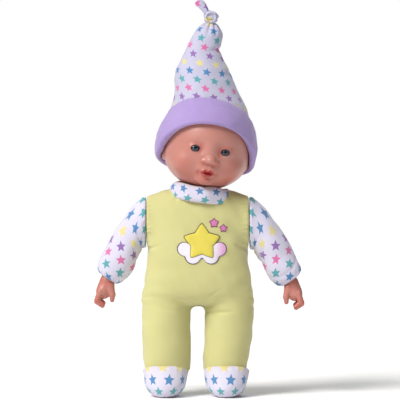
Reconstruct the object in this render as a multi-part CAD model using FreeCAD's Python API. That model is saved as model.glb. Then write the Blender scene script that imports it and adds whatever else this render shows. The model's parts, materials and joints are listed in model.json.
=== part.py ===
"""Soft-bodied interactive baby doll: stuffed cloth body, vinyl head and hands, pull-off cap, sound module.

Millimetres: +Z up, the doll faces -Y, its own left side is +X, and the floor is z = 0. Shapes are drawn with
the trunk's middle plane at y = 0 and moved forwards at the end, so that the origin is under the middle.
The head has a frame of its own, tilted on the neck, which head_place() maps to the doll's.
"""

import FreeCAD, Part
import math
import os

V = FreeCAD.Vector
X, Y, Z = V(1, 0, 0), V(0, 1, 0), V(0, 0, 1)
SIDES = {"left": 1, "right": -1}  # the doll's own sides, as the sign of X

# ---- driving dimensions ----
CLOTH = 1.2  # thickness of the body fabric
GAP = 0.15  # between a cloth cover and the stuffing inside it
CENTRE_BACK = 3.7  # the cap reaches further back than the feet reach forward; half the difference
JOINT_GAP = 0.4  # between two bodies across a sewn joint

# Trunk: height, half width, half depth, shift back. The side profile swells at the hips and the tummy.
TRUNK = [
    (83.5, 46.0, 18.0, 0.0),
    (88.0, 52.6, 26.0, 0.0),
    (97.0, 54.2, 31.0, 0.0),
    (112.0, 51.5, 33.0, 0.0),
    (135.0, 49.0, 32.5, 0.0),
    (160.0, 48.5, 29.0, 0.0),
    (180.0, 48.0, 24.5, 0.0),
    (192.0, 44.5, 19.5, 0.0),
    (198.0, 35.0, 14.0, 0.0),
]
TRUNK_POWER = 2.3  # above 2 the section is squarer than an ellipse

# Legs: tubes that hang from the hip plane; the foot is sewn on at the ankle.
HIP_Z = 78.0
HIP_X = 30.4
HIP_AXIS_Y = -25.0  # the fold line at the front of the thigh
ANKLE_Z = 25.0
ANKLE_X = {"left": 27.6, "right": 31.2}
# Leg sections: share of the way to the ankle, half width, half depth.
LEG = [(0.0, 23.6, 23.0), (0.33, 23.6, 22.6), (0.67, 22.8, 21.4), (1.0, 20.6, 19.6)]
# Foot sections: height, half width, half length, shift forward.
FOOT = [
    (0.0, 9.0, 20.0, 8.0),
    (2.2, 12.6, 25.0, 8.8),
    (5.5, 16.4, 28.4, 9.2),
    (10.0, 19.2, 29.6, 9.0),
    (15.0, 20.4, 28.0, 7.6),
    (20.0, 20.6, 24.0, 4.4),
    (ANKLE_Z - JOINT_GAP / 2, 20.5, 19.8, 0.4),
]

# Arms: from a vertical shoulder seam down to the wrist.
SEAM_X = 49.5
SEAM_Z = 169.0
SEAM_HALF_HEIGHT, SEAM_HALF_DEPTH = 23.5, 17.0
WRIST = {"left": V(88.5, 0, 112.5), "right": V(-85.5, 0, 114.5)}
# Sleeve sections: share of the way to the wrist, half width in the front view, half depth, outward bow.
SLEEVE = [
    (0.20, 19.8, 17.0, 3.4),
    (0.42, 17.0, 16.4, 3.6),
    (0.65, 16.6, 15.8, 2.2),
    (0.85, 15.4, 14.6, 1.1),
    (1.00, 9.6, 9.4, 0.0),
]
WRIST_R = 7.0  # the hand's stem inside the cuff
CUFF_BORE_R = 7.7
STEM_LENGTH = 12.0

# Hand: palm sections as distance from the cuff, half width, half depth, sideways shift.
PALM = [
    (-1.5, 6.6, 6.2, 0.0),
    (3.0, 6.8, 5.8, 0.6),
    (9.0, 7.8, 5.6, 1.6),
    (16.0, 8.0, 5.0, 2.6),
    (19.0, 6.6, 3.8, 2.8),
]
HAND_LEAN = 0.25  # sideways slope of the hanging hand
FINGERS = (8.0, 9.4, 9.0, 7.2)  # length of each finger to its bend, from the thumb's side outwards
FINGER_R, FINGER_STEP, THUMB_R = 2.3, 3.7, 2.8

# Neck and head, in the head's frame: origin at the neck pivot, face towards -Y.
NECK = V(2.0, 0.0, 192.0)
HEAD_ROLL, HEAD_YAW = 8.5, 5.0  # degrees: lean to the doll's left, turn to the doll's left
CRANIUM = (V(0, 2, 54), V(41.0, 46.0, 46.0))  # centre and half axes
JAW = (V(0, -3, 37), V(40.6, 38.0, 28.0))
MUZZLE = (V(0, -17, 27), V(27.0, 22.5, 15.5))
NOSE = (V(0, -40.5, 34), V(5.4, 5.2, 4.4))
LIPS = (V(0, -37.5, 23), V(6.6, 3.8, 3.2))
CHIN = (V(0, -33.2, 16.6), V(7.6, 4.8, 4.4))
VINYL = 2.5
NECK_R, NECK_BORE_R, FLANGE_R = 15.0, 12.0, 18.5
DIAPHRAGM_TOP = -8.4  # top of the cloth that closes round the neck
COLLAR_R, COLLAR_INNER_R, COLLAR_TOP = 30.4, 19.0, 9.4
EYE_X, EYE_Y, EYE_Z, EYE_R, IRIS_R = 14.5, -32.6, 45.6, 6.6, 2.6
EAR = (V(39.0, 4.0, 40.0), V(4.4, 7.0, 10.5))

# Cap, in the head's frame: height, half width, half depth, sideways shift, shift back.
CAP = [
    (12.0, 40.0, 38.0, 0.0, -2.0),
    (24.0, 45.0, 43.6, 0.0, 0.0),
    (36.0, 47.6, 48.6, 0.0, 1.2),
    (52.0, 48.0, 51.6, 0.0, 2.0),
    (63.0, 46.0, 50.2, 0.0, 2.0),
    (72.0, 43.2, 47.6, -0.5, 2.0),
    (82.0, 39.2, 43.4, -1.5, 2.2),
    (92.0, 35.4, 38.0, -4.0, 3.0),
    (104.0, 32.3, 33.0, -8.1, 4.5),
    (118.0, 29.0, 28.4, -12.8, 6.0),
    (134.0, 20.8, 20.8, -16.4, 7.0),
    (149.0, 16.2, 15.8, -15.8, 7.6),
    (160.0, 13.0, 12.4, -14.2, 8.0),
    (168.5, 7.4, 7.2, -14.4, 8.0),
]
CUFF_THICK, CROWN_THICK, CROWN_STEP = 3.4, 1.3, 1.0
CUFF_LOW = [(-56.0, 75.0), (-44.0, 69.0), (0.0, 36.0), (56.0, 19.0)]  # back position and height of the edge
CUFF_HIGH = [(-56.0, 107.0), (-30.0, 95.0), (0.0, 80.0), (56.0, 64.0)]
KNOT = (V(-14.4, 8.0, 174.2), V(7.8, 7.0, 6.7))
TAIL = [V(-18.5, 7.0, 176.4), V(-25.0, 6.6, 181.4), V(-30.8, 6.2, 187.0)]
TAIL_R = (3.6, 4.4, 2.6)

# Sound module, a case in a pocket that opens at the back.
CASE_X, CASE_Z, CASE_ZC = 23.0, 21.0, 129.0  # half width, half height, centre height
CASE_FRONT, CASE_SPLIT, CASE_BACK = -5.0, 9.0, 26.6
CASE_WALL, CASE_CORNER = 2.0, 4.0
BUTTON_R, BUTTON_Z, BUTTON_FRONT = 13.0, 131.0, -10.0
BOARD_FRONT, BOARD_THICK = 6.0, 1.2
CELL_R, CELL_LENGTH, CELL_COUNT = 5.8, 5.4, 3  # LR44 button cells
CELLS_Y, CELLS_Z = 18.4, 141.0
DOOR_SCREW_Z = 130.6
SCREW_BORE, SCREW_SHANK, POST_R = 1.15, 1.0, 2.8
SPEAKER_R, SPEAKER_X, SPEAKER_Z = 9.6, -7.4, 120.0
SWITCH_X, SWITCH_Z = 15.0, 122.0
SPRING_R, SPRING_HALF_WIRE, SPRING_TURNS = 5.2, 0.28, 5
POCKET_SLACK = 1.0  # between the case and the pocket lining
LINING = 1.0

# Back flap over the pocket: offset of each layer outside the trunk's surface.
FLAP_X, FLAP_LOW, FLAP_HIGH = 25.0, 101.5, 156.0
FLAP_LAYER, HOOK_LAYER, LOOP_LAYER = (2.5, 3.7), (1.4, 2.4), (0.1, 1.0)
STRIP_LOW, STRIP_HIGH = 102.5, 106.8

# Chest patches: sewn-on star over a cloud, and two small stars.
STAR_AT, STAR_R = (4.0, 149.5), 17.0
SMALL_STARS = [(15.6, 167.0, 4.8), (24.6, 162.0, 4.2)]
CLOUD_LOBES = [(-14.0, 141.0, 7.6), (22.0, 141.0, 7.6), (-4.0, 134.6, 8.6), (12.0, 134.6, 8.6)]
PATCH_LAYER, STAR_LAYER = (0.1, 0.9), (0.1, 1.3)


# ---- shared shapes ----
def ring(centre, half_u, half_v, u=X, v=Y, power=2.0, count=16):
    """A closed smooth wire round a centre, a superellipse in the plane of u and v."""
    points = []
    for k in range(count):
        c, s = math.cos(2 * math.pi * k / count), math.sin(2 * math.pi * k / count)
        along_u = half_u * math.copysign(abs(c) ** (2 / power), c)
        along_v = half_v * math.copysign(abs(s) ** (2 / power), s)
        points.append(centre + u * along_u + v * along_v)
    curve = Part.BSplineCurve()
    curve.interpolate(points, PeriodicFlag=True)
    return Part.Wire([curve.toShape()])


def loft(rings):
    """A closed solid through a row of rings."""
    return Part.makeLoft(rings, True, False)


def ellipsoid(centre, half, inset=0.0):
    matrix = FreeCAD.Matrix()
    matrix.scale(half.x - inset, half.y - inset, half.z - inset)
    matrix.move(centre)
    return Part.makeSphere(1.0).transformGeometry(matrix)


def box(low, high):
    size = high - low
    return Part.makeBox(size.x, size.y, size.z, low)


def rod(start, end, radius):
    """A cylinder from one point to another."""
    along = end - start
    return Part.makeCylinder(radius, along.Length, start, along)


def capsule(start, end, radius):
    """A rod with round ends."""
    return rod(start, end, radius).fuse([Part.makeSphere(radius, start), Part.makeSphere(radius, end)])


def tube(start, end, outer, inner):
    return rod(start, end, outer).cut(rod(start, end, inner))


def prism(points, direction, length):
    """A straight solid on the polygon through some points."""
    face = Part.Face(Part.makePolygon(points + [points[0]]))
    return face.extrude(direction * length)


def star_points(centre_x, centre_z, radius, inner_share=0.52):
    """The ten corners of an upright star in an X-Z plane."""
    points = []
    for k in range(10):
        angle = math.radians(90 + 36 * k)
        r = radius if k % 2 == 0 else radius * inner_share
        points.append(V(centre_x + r * math.cos(angle), -60, centre_z + r * math.sin(angle)))
    return points


def head_place(shape):
    """Carries a shape from the head's frame to the row frame."""
    turn = FreeCAD.Rotation(Y, HEAD_ROLL).multiply(FreeCAD.Rotation(Z, HEAD_YAW))
    placed = shape.copy()
    placed.Placement = FreeCAD.Placement(NECK, turn).multiply(placed.Placement)
    return placed


def neck_rod(low, high, radius):
    """A cylinder about the neck's axis, given in the head's frame and placed in the row frame."""
    return head_place(rod(Z * low, Z * high, radius))


# ---- trunk ----
def trunk_loft(inset, flat_ends=0.0):
    """The trunk alone, inset inwards (or outwards if negative); flat_ends shortens it at both ends."""
    rings = []
    for k, (z, width, depth, back) in enumerate(TRUNK):
        height = z + flat_ends * ((k == 0) - (k == len(TRUNK) - 1))
        rings.append(ring(V(0, back, height), width - inset, depth - inset, power=TRUNK_POWER))
    return loft(rings)


def trunk_form(inset):
    """The trunk with its two hip stubs and its two shoulder stubs."""
    parts = []
    for side in SIDES.values():
        width, depth = LEG[0][1] - inset, LEG[0][2] - inset
        low, high = HIP_Z + JOINT_GAP / 2, TRUNK[2][0] + 4
        parts.append(loft([ring(V(side * HIP_X, 0, z), width, depth) for z in (low, (low + high) / 2, high)]))
        half_v, half_u = SEAM_HALF_HEIGHT - inset, SEAM_HALF_DEPTH - inset
        xs = [side * x for x in (SEAM_X - 22, SEAM_X - 10, SEAM_X)]
        parts.append(loft([ring(V(x, 0, SEAM_Z), half_u, half_v, Y, Z) for x in xs]))
    return trunk_loft(inset, inset).fuse(parts)


def pocket_hole():
    """The way in at the back, through cover and stuffing."""
    half_x, half_z = CASE_X + POCKET_SLACK, CASE_Z + POCKET_SLACK
    return box(V(-half_x, 0, CASE_ZC - half_z), V(half_x, 60, CASE_ZC + half_z))


def torso_cover():
    outer = trunk_form(0).cut(neck_rod(DIAPHRAGM_TOP, 40, COLLAR_R + 0.6))
    inner = trunk_form(CLOTH).cut(neck_rod(DIAPHRAGM_TOP - CLOTH, 40, COLLAR_R + 0.6 + CLOTH))
    neck_hole = neck_rod(-30, 40, NECK_R + 0.5)
    return outer.cut(inner).cut(neck_hole).cut(pocket_hole())


def torso_stuffing():
    form = trunk_form(CLOTH + GAP)
    form = form.cut(neck_rod(DIAPHRAGM_TOP - CLOTH - GAP, 40, COLLAR_R + 0.6 + CLOTH + GAP))
    grow = POCKET_SLACK + LINING + GAP
    half_x, half_z = CASE_X + grow, CASE_Z + grow
    pocket = box(V(-half_x, BUTTON_FRONT - 4.2, CASE_ZC - half_z), V(half_x, 60, CASE_ZC + half_z))
    return form.cut(pocket).cut(neck_rod(-20, 0, FLANGE_R + 1.5))


def pocket_lining():
    grow = POCKET_SLACK + LINING
    front = BUTTON_FRONT - 4.0
    shell = box(
        V(-CASE_X - grow, front, CASE_ZC - CASE_Z - grow), V(CASE_X + grow, 60, CASE_ZC + CASE_Z + grow)
    )
    room = box(
        V(-CASE_X - POCKET_SLACK, front + LINING, CASE_ZC - CASE_Z - POCKET_SLACK),
        V(CASE_X + POCKET_SLACK, 60, CASE_ZC + CASE_Z + POCKET_SLACK),
    )
    return shell.cut(room).common(trunk_loft(CLOTH + GAP, CLOTH))


def neck_tie():
    """The plastic strap that closes the cloth on the neck, with its lock."""
    strap = tube(Z * (DIAPHRAGM_TOP + 0.2), Z * (DIAPHRAGM_TOP + 3.6), NECK_R + 1.7, NECK_R + 0.5)
    lock = box(V(-2.2, NECK_R + 1.4, DIAPHRAGM_TOP + 0.2), V(2.2, NECK_R + 3.6, DIAPHRAGM_TOP + 3.6))
    return head_place(strap.fuse(lock))


def roll_collar():
    """The folded collar: a soft ring about the neck."""
    low = DIAPHRAGM_TOP + 0.2
    middle = (low + COLLAR_TOP) / 2
    profile = [(low, 3.4), (low + 3.0, 0.6), (middle, 0.0), (COLLAR_TOP - 3.0, 1.2), (COLLAR_TOP, 4.6)]
    rings = [ring(Z * z, COLLAR_R - inwards, COLLAR_R - inwards) for z, inwards in profile]
    bore = rod(Z * (low - 5), Z * (COLLAR_TOP + 5), COLLAR_INNER_R + 0.8)
    return head_place(loft(rings).cut(bore))


def layer(bounds):
    """A thin layer that follows the outside of the trunk, between two distances from it."""
    return trunk_loft(-bounds[1]).cut(trunk_loft(-bounds[0], -2.0))


def star_patch():
    return layer(STAR_LAYER).common(prism(star_points(*STAR_AT, STAR_R), Y, 60))


def cloud_patch():
    lobes = [rod(V(x, -60, z), V(x, 0, z), r) for x, z, r in CLOUD_LOBES]
    bar = box(V(CLOUD_LOBES[0][0], -60, 130.0), V(CLOUD_LOBES[1][0], 0, 144.0))
    room = prism(star_points(*STAR_AT, STAR_R + 0.4), Y, 60)
    cut = layer(PATCH_LAYER).common(lobes[0].fuse(lobes[1:] + [bar])).cut(room)
    return Part.makeCompound([s for s in cut.Solids if s.Volume > 20])


def small_star_patches():
    thin = layer(PATCH_LAYER)
    return Part.makeCompound([thin.common(prism(star_points(*s), Y, 60)) for s in SMALL_STARS])


def back_flap():
    cut = box(V(-FLAP_X, 0, FLAP_LOW), V(FLAP_X, 60, FLAP_HIGH))
    return layer(FLAP_LAYER).common(cut)


def closure_strip(bounds):
    cut = box(V(-FLAP_X + 3, 0, STRIP_LOW), V(FLAP_X - 3, 60, STRIP_HIGH))
    return layer(bounds).common(cut)


# ---- sound module ----
def case_block(front, back, inset=0.0):
    """A block with the case's rounded outline, between two depths."""
    half_x, half_z, corner = CASE_X - inset, CASE_Z - inset, CASE_CORNER - inset
    block = box(V(-half_x, front, CASE_ZC - half_z), V(half_x, back, CASE_ZC + half_z))
    upright = [e for e in block.Edges if abs(e.tangentAt(e.FirstParameter).y) > 0.99]
    return block.makeFillet(corner, upright)


def case_screw_spots():
    dx, dz = CASE_X - 4.6, CASE_Z - 4.6
    return [(sx * dx, CASE_ZC + sz * dz) for sx in (-1, 1) for sz in (-1, 1)]


def front_case():
    shell = case_block(CASE_FRONT, CASE_SPLIT - 0.1)
    shell = shell.cut(case_block(CASE_FRONT + CASE_WALL, CASE_SPLIT + 5, CASE_WALL))
    spots = case_screw_spots()
    posts = [rod(V(x, CASE_FRONT + 1, z), V(x, CASE_SPLIT - 0.1, z), POST_R) for x, z in spots]
    holes = [rod(V(x, CASE_FRONT + CASE_WALL, z), V(x, CASE_SPLIT + 1, z), SCREW_BORE) for x, z in spots]
    button = rod(V(0, CASE_FRONT - 1, BUTTON_Z), V(0, CASE_FRONT + CASE_WALL + 0.5, BUTTON_Z), BUTTON_R + 0.3)
    return shell.fuse(posts).cut(holes + [button])


def rear_case():
    shell = case_block(CASE_SPLIT, CASE_BACK)
    shell = shell.cut(case_block(CASE_SPLIT - 5, CASE_BACK - CASE_WALL, CASE_WALL))
    spots = case_screw_spots()
    posts = [rod(V(x, CASE_SPLIT, z), V(x, CASE_BACK, z), POST_R) for x, z in spots]
    holes = [rod(V(x, CASE_SPLIT - 1, z), V(x, CASE_BACK + 1, z), SCREW_BORE) for x, z in spots]
    holes += [rod(V(x, CASE_BACK - 2.0, z), V(x, CASE_BACK + 1, z), POST_R - 0.5) for x, z in spots]
    half_bay = CELL_LENGTH * CELL_COUNT / 2 + 2.6
    bay = box(
        V(-half_bay - 1.2, CELLS_Y - CELL_R - 1.6, CELLS_Z - CELL_R - 1.4),
        V(half_bay + 1.2, CASE_BACK - 1, CELLS_Z + CELL_R + 0.6),
    )
    room = box(
        V(-half_bay, CELLS_Y - CELL_R - 0.4, CELLS_Z - CELL_R - 0.4),
        V(half_bay, CASE_BACK + 1, CELLS_Z + CELL_R + 0.4),
    )
    boss = rod(V(0, CELLS_Y, DOOR_SCREW_Z), V(0, CASE_BACK - 1, DOOR_SCREW_Z), 2.4)
    boss_hole = rod(V(0, CELLS_Y + 0.5, DOOR_SCREW_Z), V(0, CASE_BACK + 1, DOOR_SCREW_Z), SCREW_BORE)
    door_seat = door_block(0.2, CASE_BACK - 1.3, CASE_BACK + 1)
    grille = [rod(V(x, CASE_BACK - 4, z), V(x, CASE_BACK + 1, z), 0.9) for x, z in grille_spots()]
    slot = box(
        V(SWITCH_X - 2.3, CASE_BACK - 4, SWITCH_Z - 5.4),
        V(SWITCH_X + 2.3, CASE_BACK + 1, SWITCH_Z + 5.4),
    )
    shell = shell.fuse(posts + [bay, boss])
    return shell.cut(holes + [room, boss_hole, door_seat, slot] + grille)


def door_block(grow, front, back):
    half = CELL_LENGTH * CELL_COUNT / 2 + 4.4 + grow
    return box(V(-half, front, DOOR_SCREW_Z - 2.6 - grow), V(half, back, CELLS_Z + CELL_R + 1.4 + grow))


def grille_spots():
    """Rings of speaker holes."""
    spots = [(SPEAKER_X, SPEAKER_Z)]
    for radius, count in ((3.0, 6), (6.0, 12)):
        for k in range(count):
            angle = 2 * math.pi * k / count
            spots.append((SPEAKER_X + radius * math.cos(angle), SPEAKER_Z + radius * math.sin(angle)))
    return spots


def battery_door():
    door = door_block(0, CASE_BACK - 1.2, CASE_BACK)
    hole = rod(V(0, 0, DOOR_SCREW_Z), V(0, 60, DOOR_SCREW_Z), 1.2)
    ribs = [box(V(-6, CASE_BACK - 0.1, z), V(6, CASE_BACK + 0.4, z + 0.7)) for z in (137.0, 139.4, 141.8)]
    return door.fuse(ribs).cut(hole)


def screw(x, z, back, length):
    """A small screw driven forwards: a pan head with a cross slot, and its shank."""
    head = rod(V(x, back, z), V(x, back + 1.3, z), 2.0)
    shank = rod(V(x, back - length, z), V(x, back + 0.1, z), SCREW_SHANK)
    slots = [
        box(V(x - 1.3, back + 0.6, z - 0.25), V(x + 1.3, back + 2, z + 0.25)),
        box(V(x - 0.25, back + 0.6, z - 1.3), V(x + 0.25, back + 2, z + 1.3)),
    ]
    return head.fuse(shank).cut(slots)


def case_screws():
    return Part.makeCompound([screw(x, z, CASE_BACK - 1.95, 18.0) for x, z in case_screw_spots()])


def button_cells():
    cells = []
    start = -CELL_LENGTH * CELL_COUNT / 2
    for k in range(CELL_COUNT):
        can = V(start + k * CELL_LENGTH + 0.05, CELLS_Y, CELLS_Z)
        cell = rod(can, can + X * (CELL_LENGTH - 0.6), CELL_R)
        pole = rod(can, can + X * (CELL_LENGTH - 0.1), CELL_R - 1.4)
        cells.append(cell.fuse(pole))
    return Part.makeCompound(cells)


def battery_contacts():
    """A plate at each end of the row of cells, with a dimple that touches the cell."""
    half = CELL_LENGTH * CELL_COUNT / 2
    contacts = []
    for sign in (-1, 1):
        middle = V(sign * (half + 1.8), CELLS_Y, CELLS_Z)
        plate = box(middle - V(0.2, 5, 5), middle + V(0.2, 5, 5))
        dimple = rod(middle, V(sign * (half + 0.1), CELLS_Y, CELLS_Z), 2.0)
        contacts.append(plate.fuse(dimple))
    return Part.makeCompound(contacts)


def circuit_board():
    half_x, half_z = CASE_X - CASE_WALL - 0.6, CASE_Z - CASE_WALL - 0.6
    back = BOARD_FRONT + BOARD_THICK
    board = box(V(-half_x, BOARD_FRONT, CASE_ZC - half_z), V(half_x, back, CASE_ZC + half_z))
    notches = [rod(V(x, 0, z), V(x, 20, z), POST_R + 0.6) for x, z in case_screw_spots()]
    return board.cut(notches)


def board_parts():
    """The sound chip's round cap, a crystal and two capacitors on the back of the board."""
    y = BOARD_FRONT + BOARD_THICK + 0.05
    chip = rod(V(-12, y, 133), V(-12, y + 1.4, 133), 4.5)
    crystal = box(V(-3, y, 112), V(5, y + 3, 115.5))
    capacitors = [rod(V(15, y, z), V(15, y + 5.0, z), 2.0) for z in (129.0, 135.0)]
    return Part.makeCompound([chip, crystal] + capacitors)


def tact_switch():
    base = box(V(-3, BOARD_FRONT - 2.6, BUTTON_Z - 3), V(3, BOARD_FRONT - 0.05, BUTTON_Z + 3))
    return base.fuse(rod(V(0, BOARD_FRONT - 3.4, BUTTON_Z), V(0, BOARD_FRONT - 1, BUTTON_Z), 1.7))


def speaker_frame():
    back = CASE_BACK - CASE_WALL - 0.2
    rim = V(SPEAKER_X, back, SPEAKER_Z)
    basket = Part.makeCone(SPEAKER_R, SPEAKER_R - 3.5, 4.0, rim, Y * -1)
    hollow = Part.makeCone(SPEAKER_R - 1.2, SPEAKER_R - 4.7, 3.2, rim + Y * 0.01, Y * -1)
    return basket.cut(hollow)


def speaker_cone():
    back = CASE_BACK - CASE_WALL - 0.3
    rim = V(SPEAKER_X, back, SPEAKER_Z)
    outer = Part.makeCone(SPEAKER_R - 1.4, 3.2, 2.9, rim, Y * -1)
    inner = Part.makeCone(SPEAKER_R - 1.8, 2.8, 2.6, rim + Y * 0.01, Y * -1)
    return outer.cut(inner)


def speaker_magnet():
    front = CASE_BACK - CASE_WALL - 4.3
    return rod(V(SPEAKER_X, front, SPEAKER_Z), V(SPEAKER_X, front - 4.2, SPEAKER_Z), 6.0)


def speaker_leads():
    """Two short wires from the board to the speaker's rim."""
    z = SPEAKER_Z + SPEAKER_R - 1.0
    front, back = BOARD_FRONT + BOARD_THICK + 0.05, CASE_BACK - CASE_WALL - 4.6
    leads = [rod(V(SPEAKER_X + dx, front, z), V(SPEAKER_X + dx, back, z), 0.5) for dx in (-1.5, 1.5)]
    return Part.makeCompound(leads)


def press_button():
    """The plunger that a squeeze of the tummy pushes: cap, retaining rim and stem."""
    cap = rod(V(0, BUTTON_FRONT, BUTTON_Z), V(0, CASE_FRONT + CASE_WALL + 0.5, BUTTON_Z), BUTTON_R)
    rim_face = [e for e in cap.Edges if abs(e.CenterOfMass.y - BUTTON_FRONT) < 0.01]
    cap = cap.makeFillet(1.5, rim_face)
    rim_front = CASE_FRONT + CASE_WALL + 0.3
    rim = rod(V(0, rim_front, BUTTON_Z), V(0, rim_front + 1.2, BUTTON_Z), BUTTON_R + 1.6)
    stem = rod(V(0, rim_front + 1.0, BUTTON_Z), V(0, BOARD_FRONT - 6.0, BUTTON_Z), 2.0)
    return cap.fuse([rim, stem])


def button_spring():
    """The coil of flat wire between the button's rim and the board."""
    low, high = CASE_FRONT + CASE_WALL + 1.8, BOARD_FRONT - 0.3
    rise = high - low - 2 * SPRING_HALF_WIRE
    coil = Part.makeHelix(rise / SPRING_TURNS, rise, SPRING_R)
    signs = ((-1, -1), (1, -1), (1, 1), (-1, 1), (-1, -1))
    corners = [V(SPRING_R + sx * SPRING_HALF_WIRE, 0, sz * SPRING_HALF_WIRE) for sx, sz in signs]
    solid = Part.Wire(coil.Edges).makePipeShell([Part.makePolygon(corners)], True, True)
    solid.Placement = FreeCAD.Placement(V(0, low + SPRING_HALF_WIRE, BUTTON_Z), FreeCAD.Rotation(X, -90))
    return solid


def power_slider():
    """The on-off slider: a plate inside the case and a ribbed thumb piece in the slot."""
    low = SWITCH_Z - 2.0
    plate = box(
        V(SWITCH_X - 3.4, CASE_BACK - 3.4, low - 3.6),
        V(SWITCH_X + 3.4, CASE_BACK - CASE_WALL - 0.3, low + 3.6),
    )
    thumb = box(V(SWITCH_X - 2.0, CASE_BACK - 3, low - 3.0), V(SWITCH_X + 2.0, CASE_BACK + 1.0, low + 3.0))
    grooves = [
        box(V(SWITCH_X - 3, CASE_BACK + 0.5, low + dz - 0.3), V(SWITCH_X + 3, CASE_BACK + 2, low + dz + 0.3))
        for dz in (-1.5, 0, 1.5)
    ]
    return plate.fuse(thumb).cut(grooves)


# ---- legs and feet ----
def leg_rings(side, inset):
    rings = []
    top, bottom = HIP_Z - JOINT_GAP / 2, ANKLE_Z
    for share, width, depth in LEG:
        z = top + (bottom - top) * share
        x = HIP_X + (ANKLE_X[side] - HIP_X) * share
        rings.append(ring(V(SIDES[side] * x, 0, z), width - inset, depth - inset))
    return rings


def leg_cover(side):
    return loft(leg_rings(side, 0)).cut(loft(leg_rings(side, CLOTH)))


def leg_stuffing(side):
    return loft(leg_rings(side, CLOTH + GAP))


def foot_form(side, inset):
    rings = []
    for k, (z, width, length, forward) in enumerate(FOOT):
        height = z + (inset if k == 0 else 0)
        rings.append(ring(V(SIDES[side] * ANKLE_X[side], -forward, height), width - inset, length - inset))
    return loft(rings)


def foot_cover(side):
    return foot_form(side, 0).cut(foot_form(side, CLOTH))


def foot_stuffing(side):
    return foot_form(side, CLOTH + GAP)


# ---- arms and hands ----
def arm_frame(side):
    """Seam centre, wrist point, unit direction to the wrist, and the two directions across it."""
    seam = V(SIDES[side] * (SEAM_X + JOINT_GAP), 0, SEAM_Z)
    wrist = WRIST[side]
    along = (wrist - seam).normalize()
    outward = along.cross(Y) * SIDES[side]
    return seam, wrist, along, outward


def sleeve_rings(side, inset):
    """Rings from the vertical seam to the cuff, which turn from the seam's plane to across the arm."""
    seam, wrist, along, outward = arm_frame(side)
    rings = [ring(seam, SEAM_HALF_HEIGHT - inset, SEAM_HALF_DEPTH - inset, Z, Y)]
    for share, width, depth, bow in SLEEVE:
        turn = min(1.0, share / 0.5)
        across = (Z * (1 - turn) + outward * turn).normalize()
        centre = seam + (wrist - seam) * share + outward * bow
        rings.append(ring(centre, width - inset, depth - inset, across, Y))
    return rings


def stem_rod(side, start, end, radius):
    """A cylinder about the forearm's axis; distances run from the cuff's edge back into the sleeve."""
    seam, wrist, along, outward = arm_frame(side)
    return rod(wrist - along * start, wrist - along * end, radius)


def sleeve(side):
    inner = loft(sleeve_rings(side, CLOTH))
    return loft(sleeve_rings(side, 0)).cut(inner).cut(stem_rod(side, -2, STEM_LENGTH, CUFF_BORE_R))


def arm_stuffing(side):
    return loft(sleeve_rings(side, CLOTH + GAP)).cut(stem_rod(side, -5, STEM_LENGTH + 0.6, 14.0))


def wrist_tie(side):
    return stem_rod(side, 5.3, 7.7, WRIST_R + 0.4).cut(stem_rod(side, 4, 9, WRIST_R - 0.9))


def hand(side):
    """Vinyl hand: grooved stem, palm, a thumb towards the body and four curled fingers held together."""
    seam, wrist, along, outward = arm_frame(side)
    groove = stem_rod(side, 5.0, 8.0, 12.0).cut(stem_rod(side, 4.0, 9.0, WRIST_R - 1.2))
    stem = stem_rod(side, -2.0, STEM_LENGTH, WRIST_R).cut(groove)
    down = V(SIDES[side] * HAND_LEAN, 0, -1).normalize()
    across = down.cross(Y) * SIDES[side]
    rings = []
    for distance, width, depth, shift in PALM:
        rings.append(ring(wrist + down * distance + across * shift, width, depth, across, Y))
    digits = []
    for k, length in enumerate(FINGERS):
        knuckle = wrist + down * PALM[-2][0] + across * ((k - 1.5) * FINGER_STEP + PALM[-2][3])
        middle = knuckle + down * length + V(0, -1.0, 0)
        tip = middle + down * 2.4 + V(0, -4.2, 0)
        digits += [capsule(knuckle, middle, FINGER_R), capsule(middle, tip, FINGER_R - 0.2)]
    thumb_root = wrist + down * 9.0 - across * 4.0
    thumb_tip = thumb_root + down * 10.5 - across * 5.4 + V(0, -2.5, 0)
    digits.append(capsule(thumb_root, thumb_tip, THUMB_R))
    return stem.fuse([loft(rings)] + digits)


# ---- head ----
def eye_centre(side):
    return V(SIDES[side] * EYE_X, EYE_Y, EYE_Z)


def head_shell():
    """Hollow vinyl head with ears, nose, eye openings and a flanged neck."""
    outer = ellipsoid(*CRANIUM).fuse([ellipsoid(*JAW), rod(Z * -14.2, Z * 22, NECK_R)])
    outer = outer.fuse(rod(Z * -14.2, Z * (DIAPHRAGM_TOP - CLOTH - 0.4), FLANGE_R))
    ears = []
    for side in SIDES.values():
        centre = V(side * EAR[0].x, EAR[0].y, EAR[0].z)
        ears.append(ellipsoid(centre, EAR[1]))
    outer = outer.fuse([ellipsoid(*MUZZLE), ellipsoid(*NOSE), ellipsoid(*LIPS), ellipsoid(*CHIN)] + ears)
    rooms = [ellipsoid(*JAW, VINYL), ellipsoid(*MUZZLE, VINYL), rod(Z * -20, Z * 24, NECK_BORE_R)]
    hollow = ellipsoid(*CRANIUM, VINYL).fuse(rooms)
    shell = outer.cut(hollow)
    sockets = []
    for side in SIDES:
        centre = eye_centre(side)
        sockets.append(Part.makeSphere(EYE_R + 1.8, centre))
    shell = shell.fuse([s.common(ellipsoid(*CRANIUM)) for s in sockets])
    cuts = []
    for side in SIDES:
        centre = eye_centre(side)
        cuts.append(Part.makeSphere(EYE_R + 0.1, centre))
        cuts.append(rod(centre, centre + V(0, -20, 0), 4.0))
        cuts.append(rod(centre, centre + V(0, 20, 0), 3.0))
    return head_place(shell.cut(cuts))


def eye_ball(side):
    centre = eye_centre(side)
    ball = Part.makeSphere(EYE_R, centre)
    return head_place(ball.cut(rod(centre + V(0, 2 - EYE_R, 0), centre + V(0, -9, 0), IRIS_R)))


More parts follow.
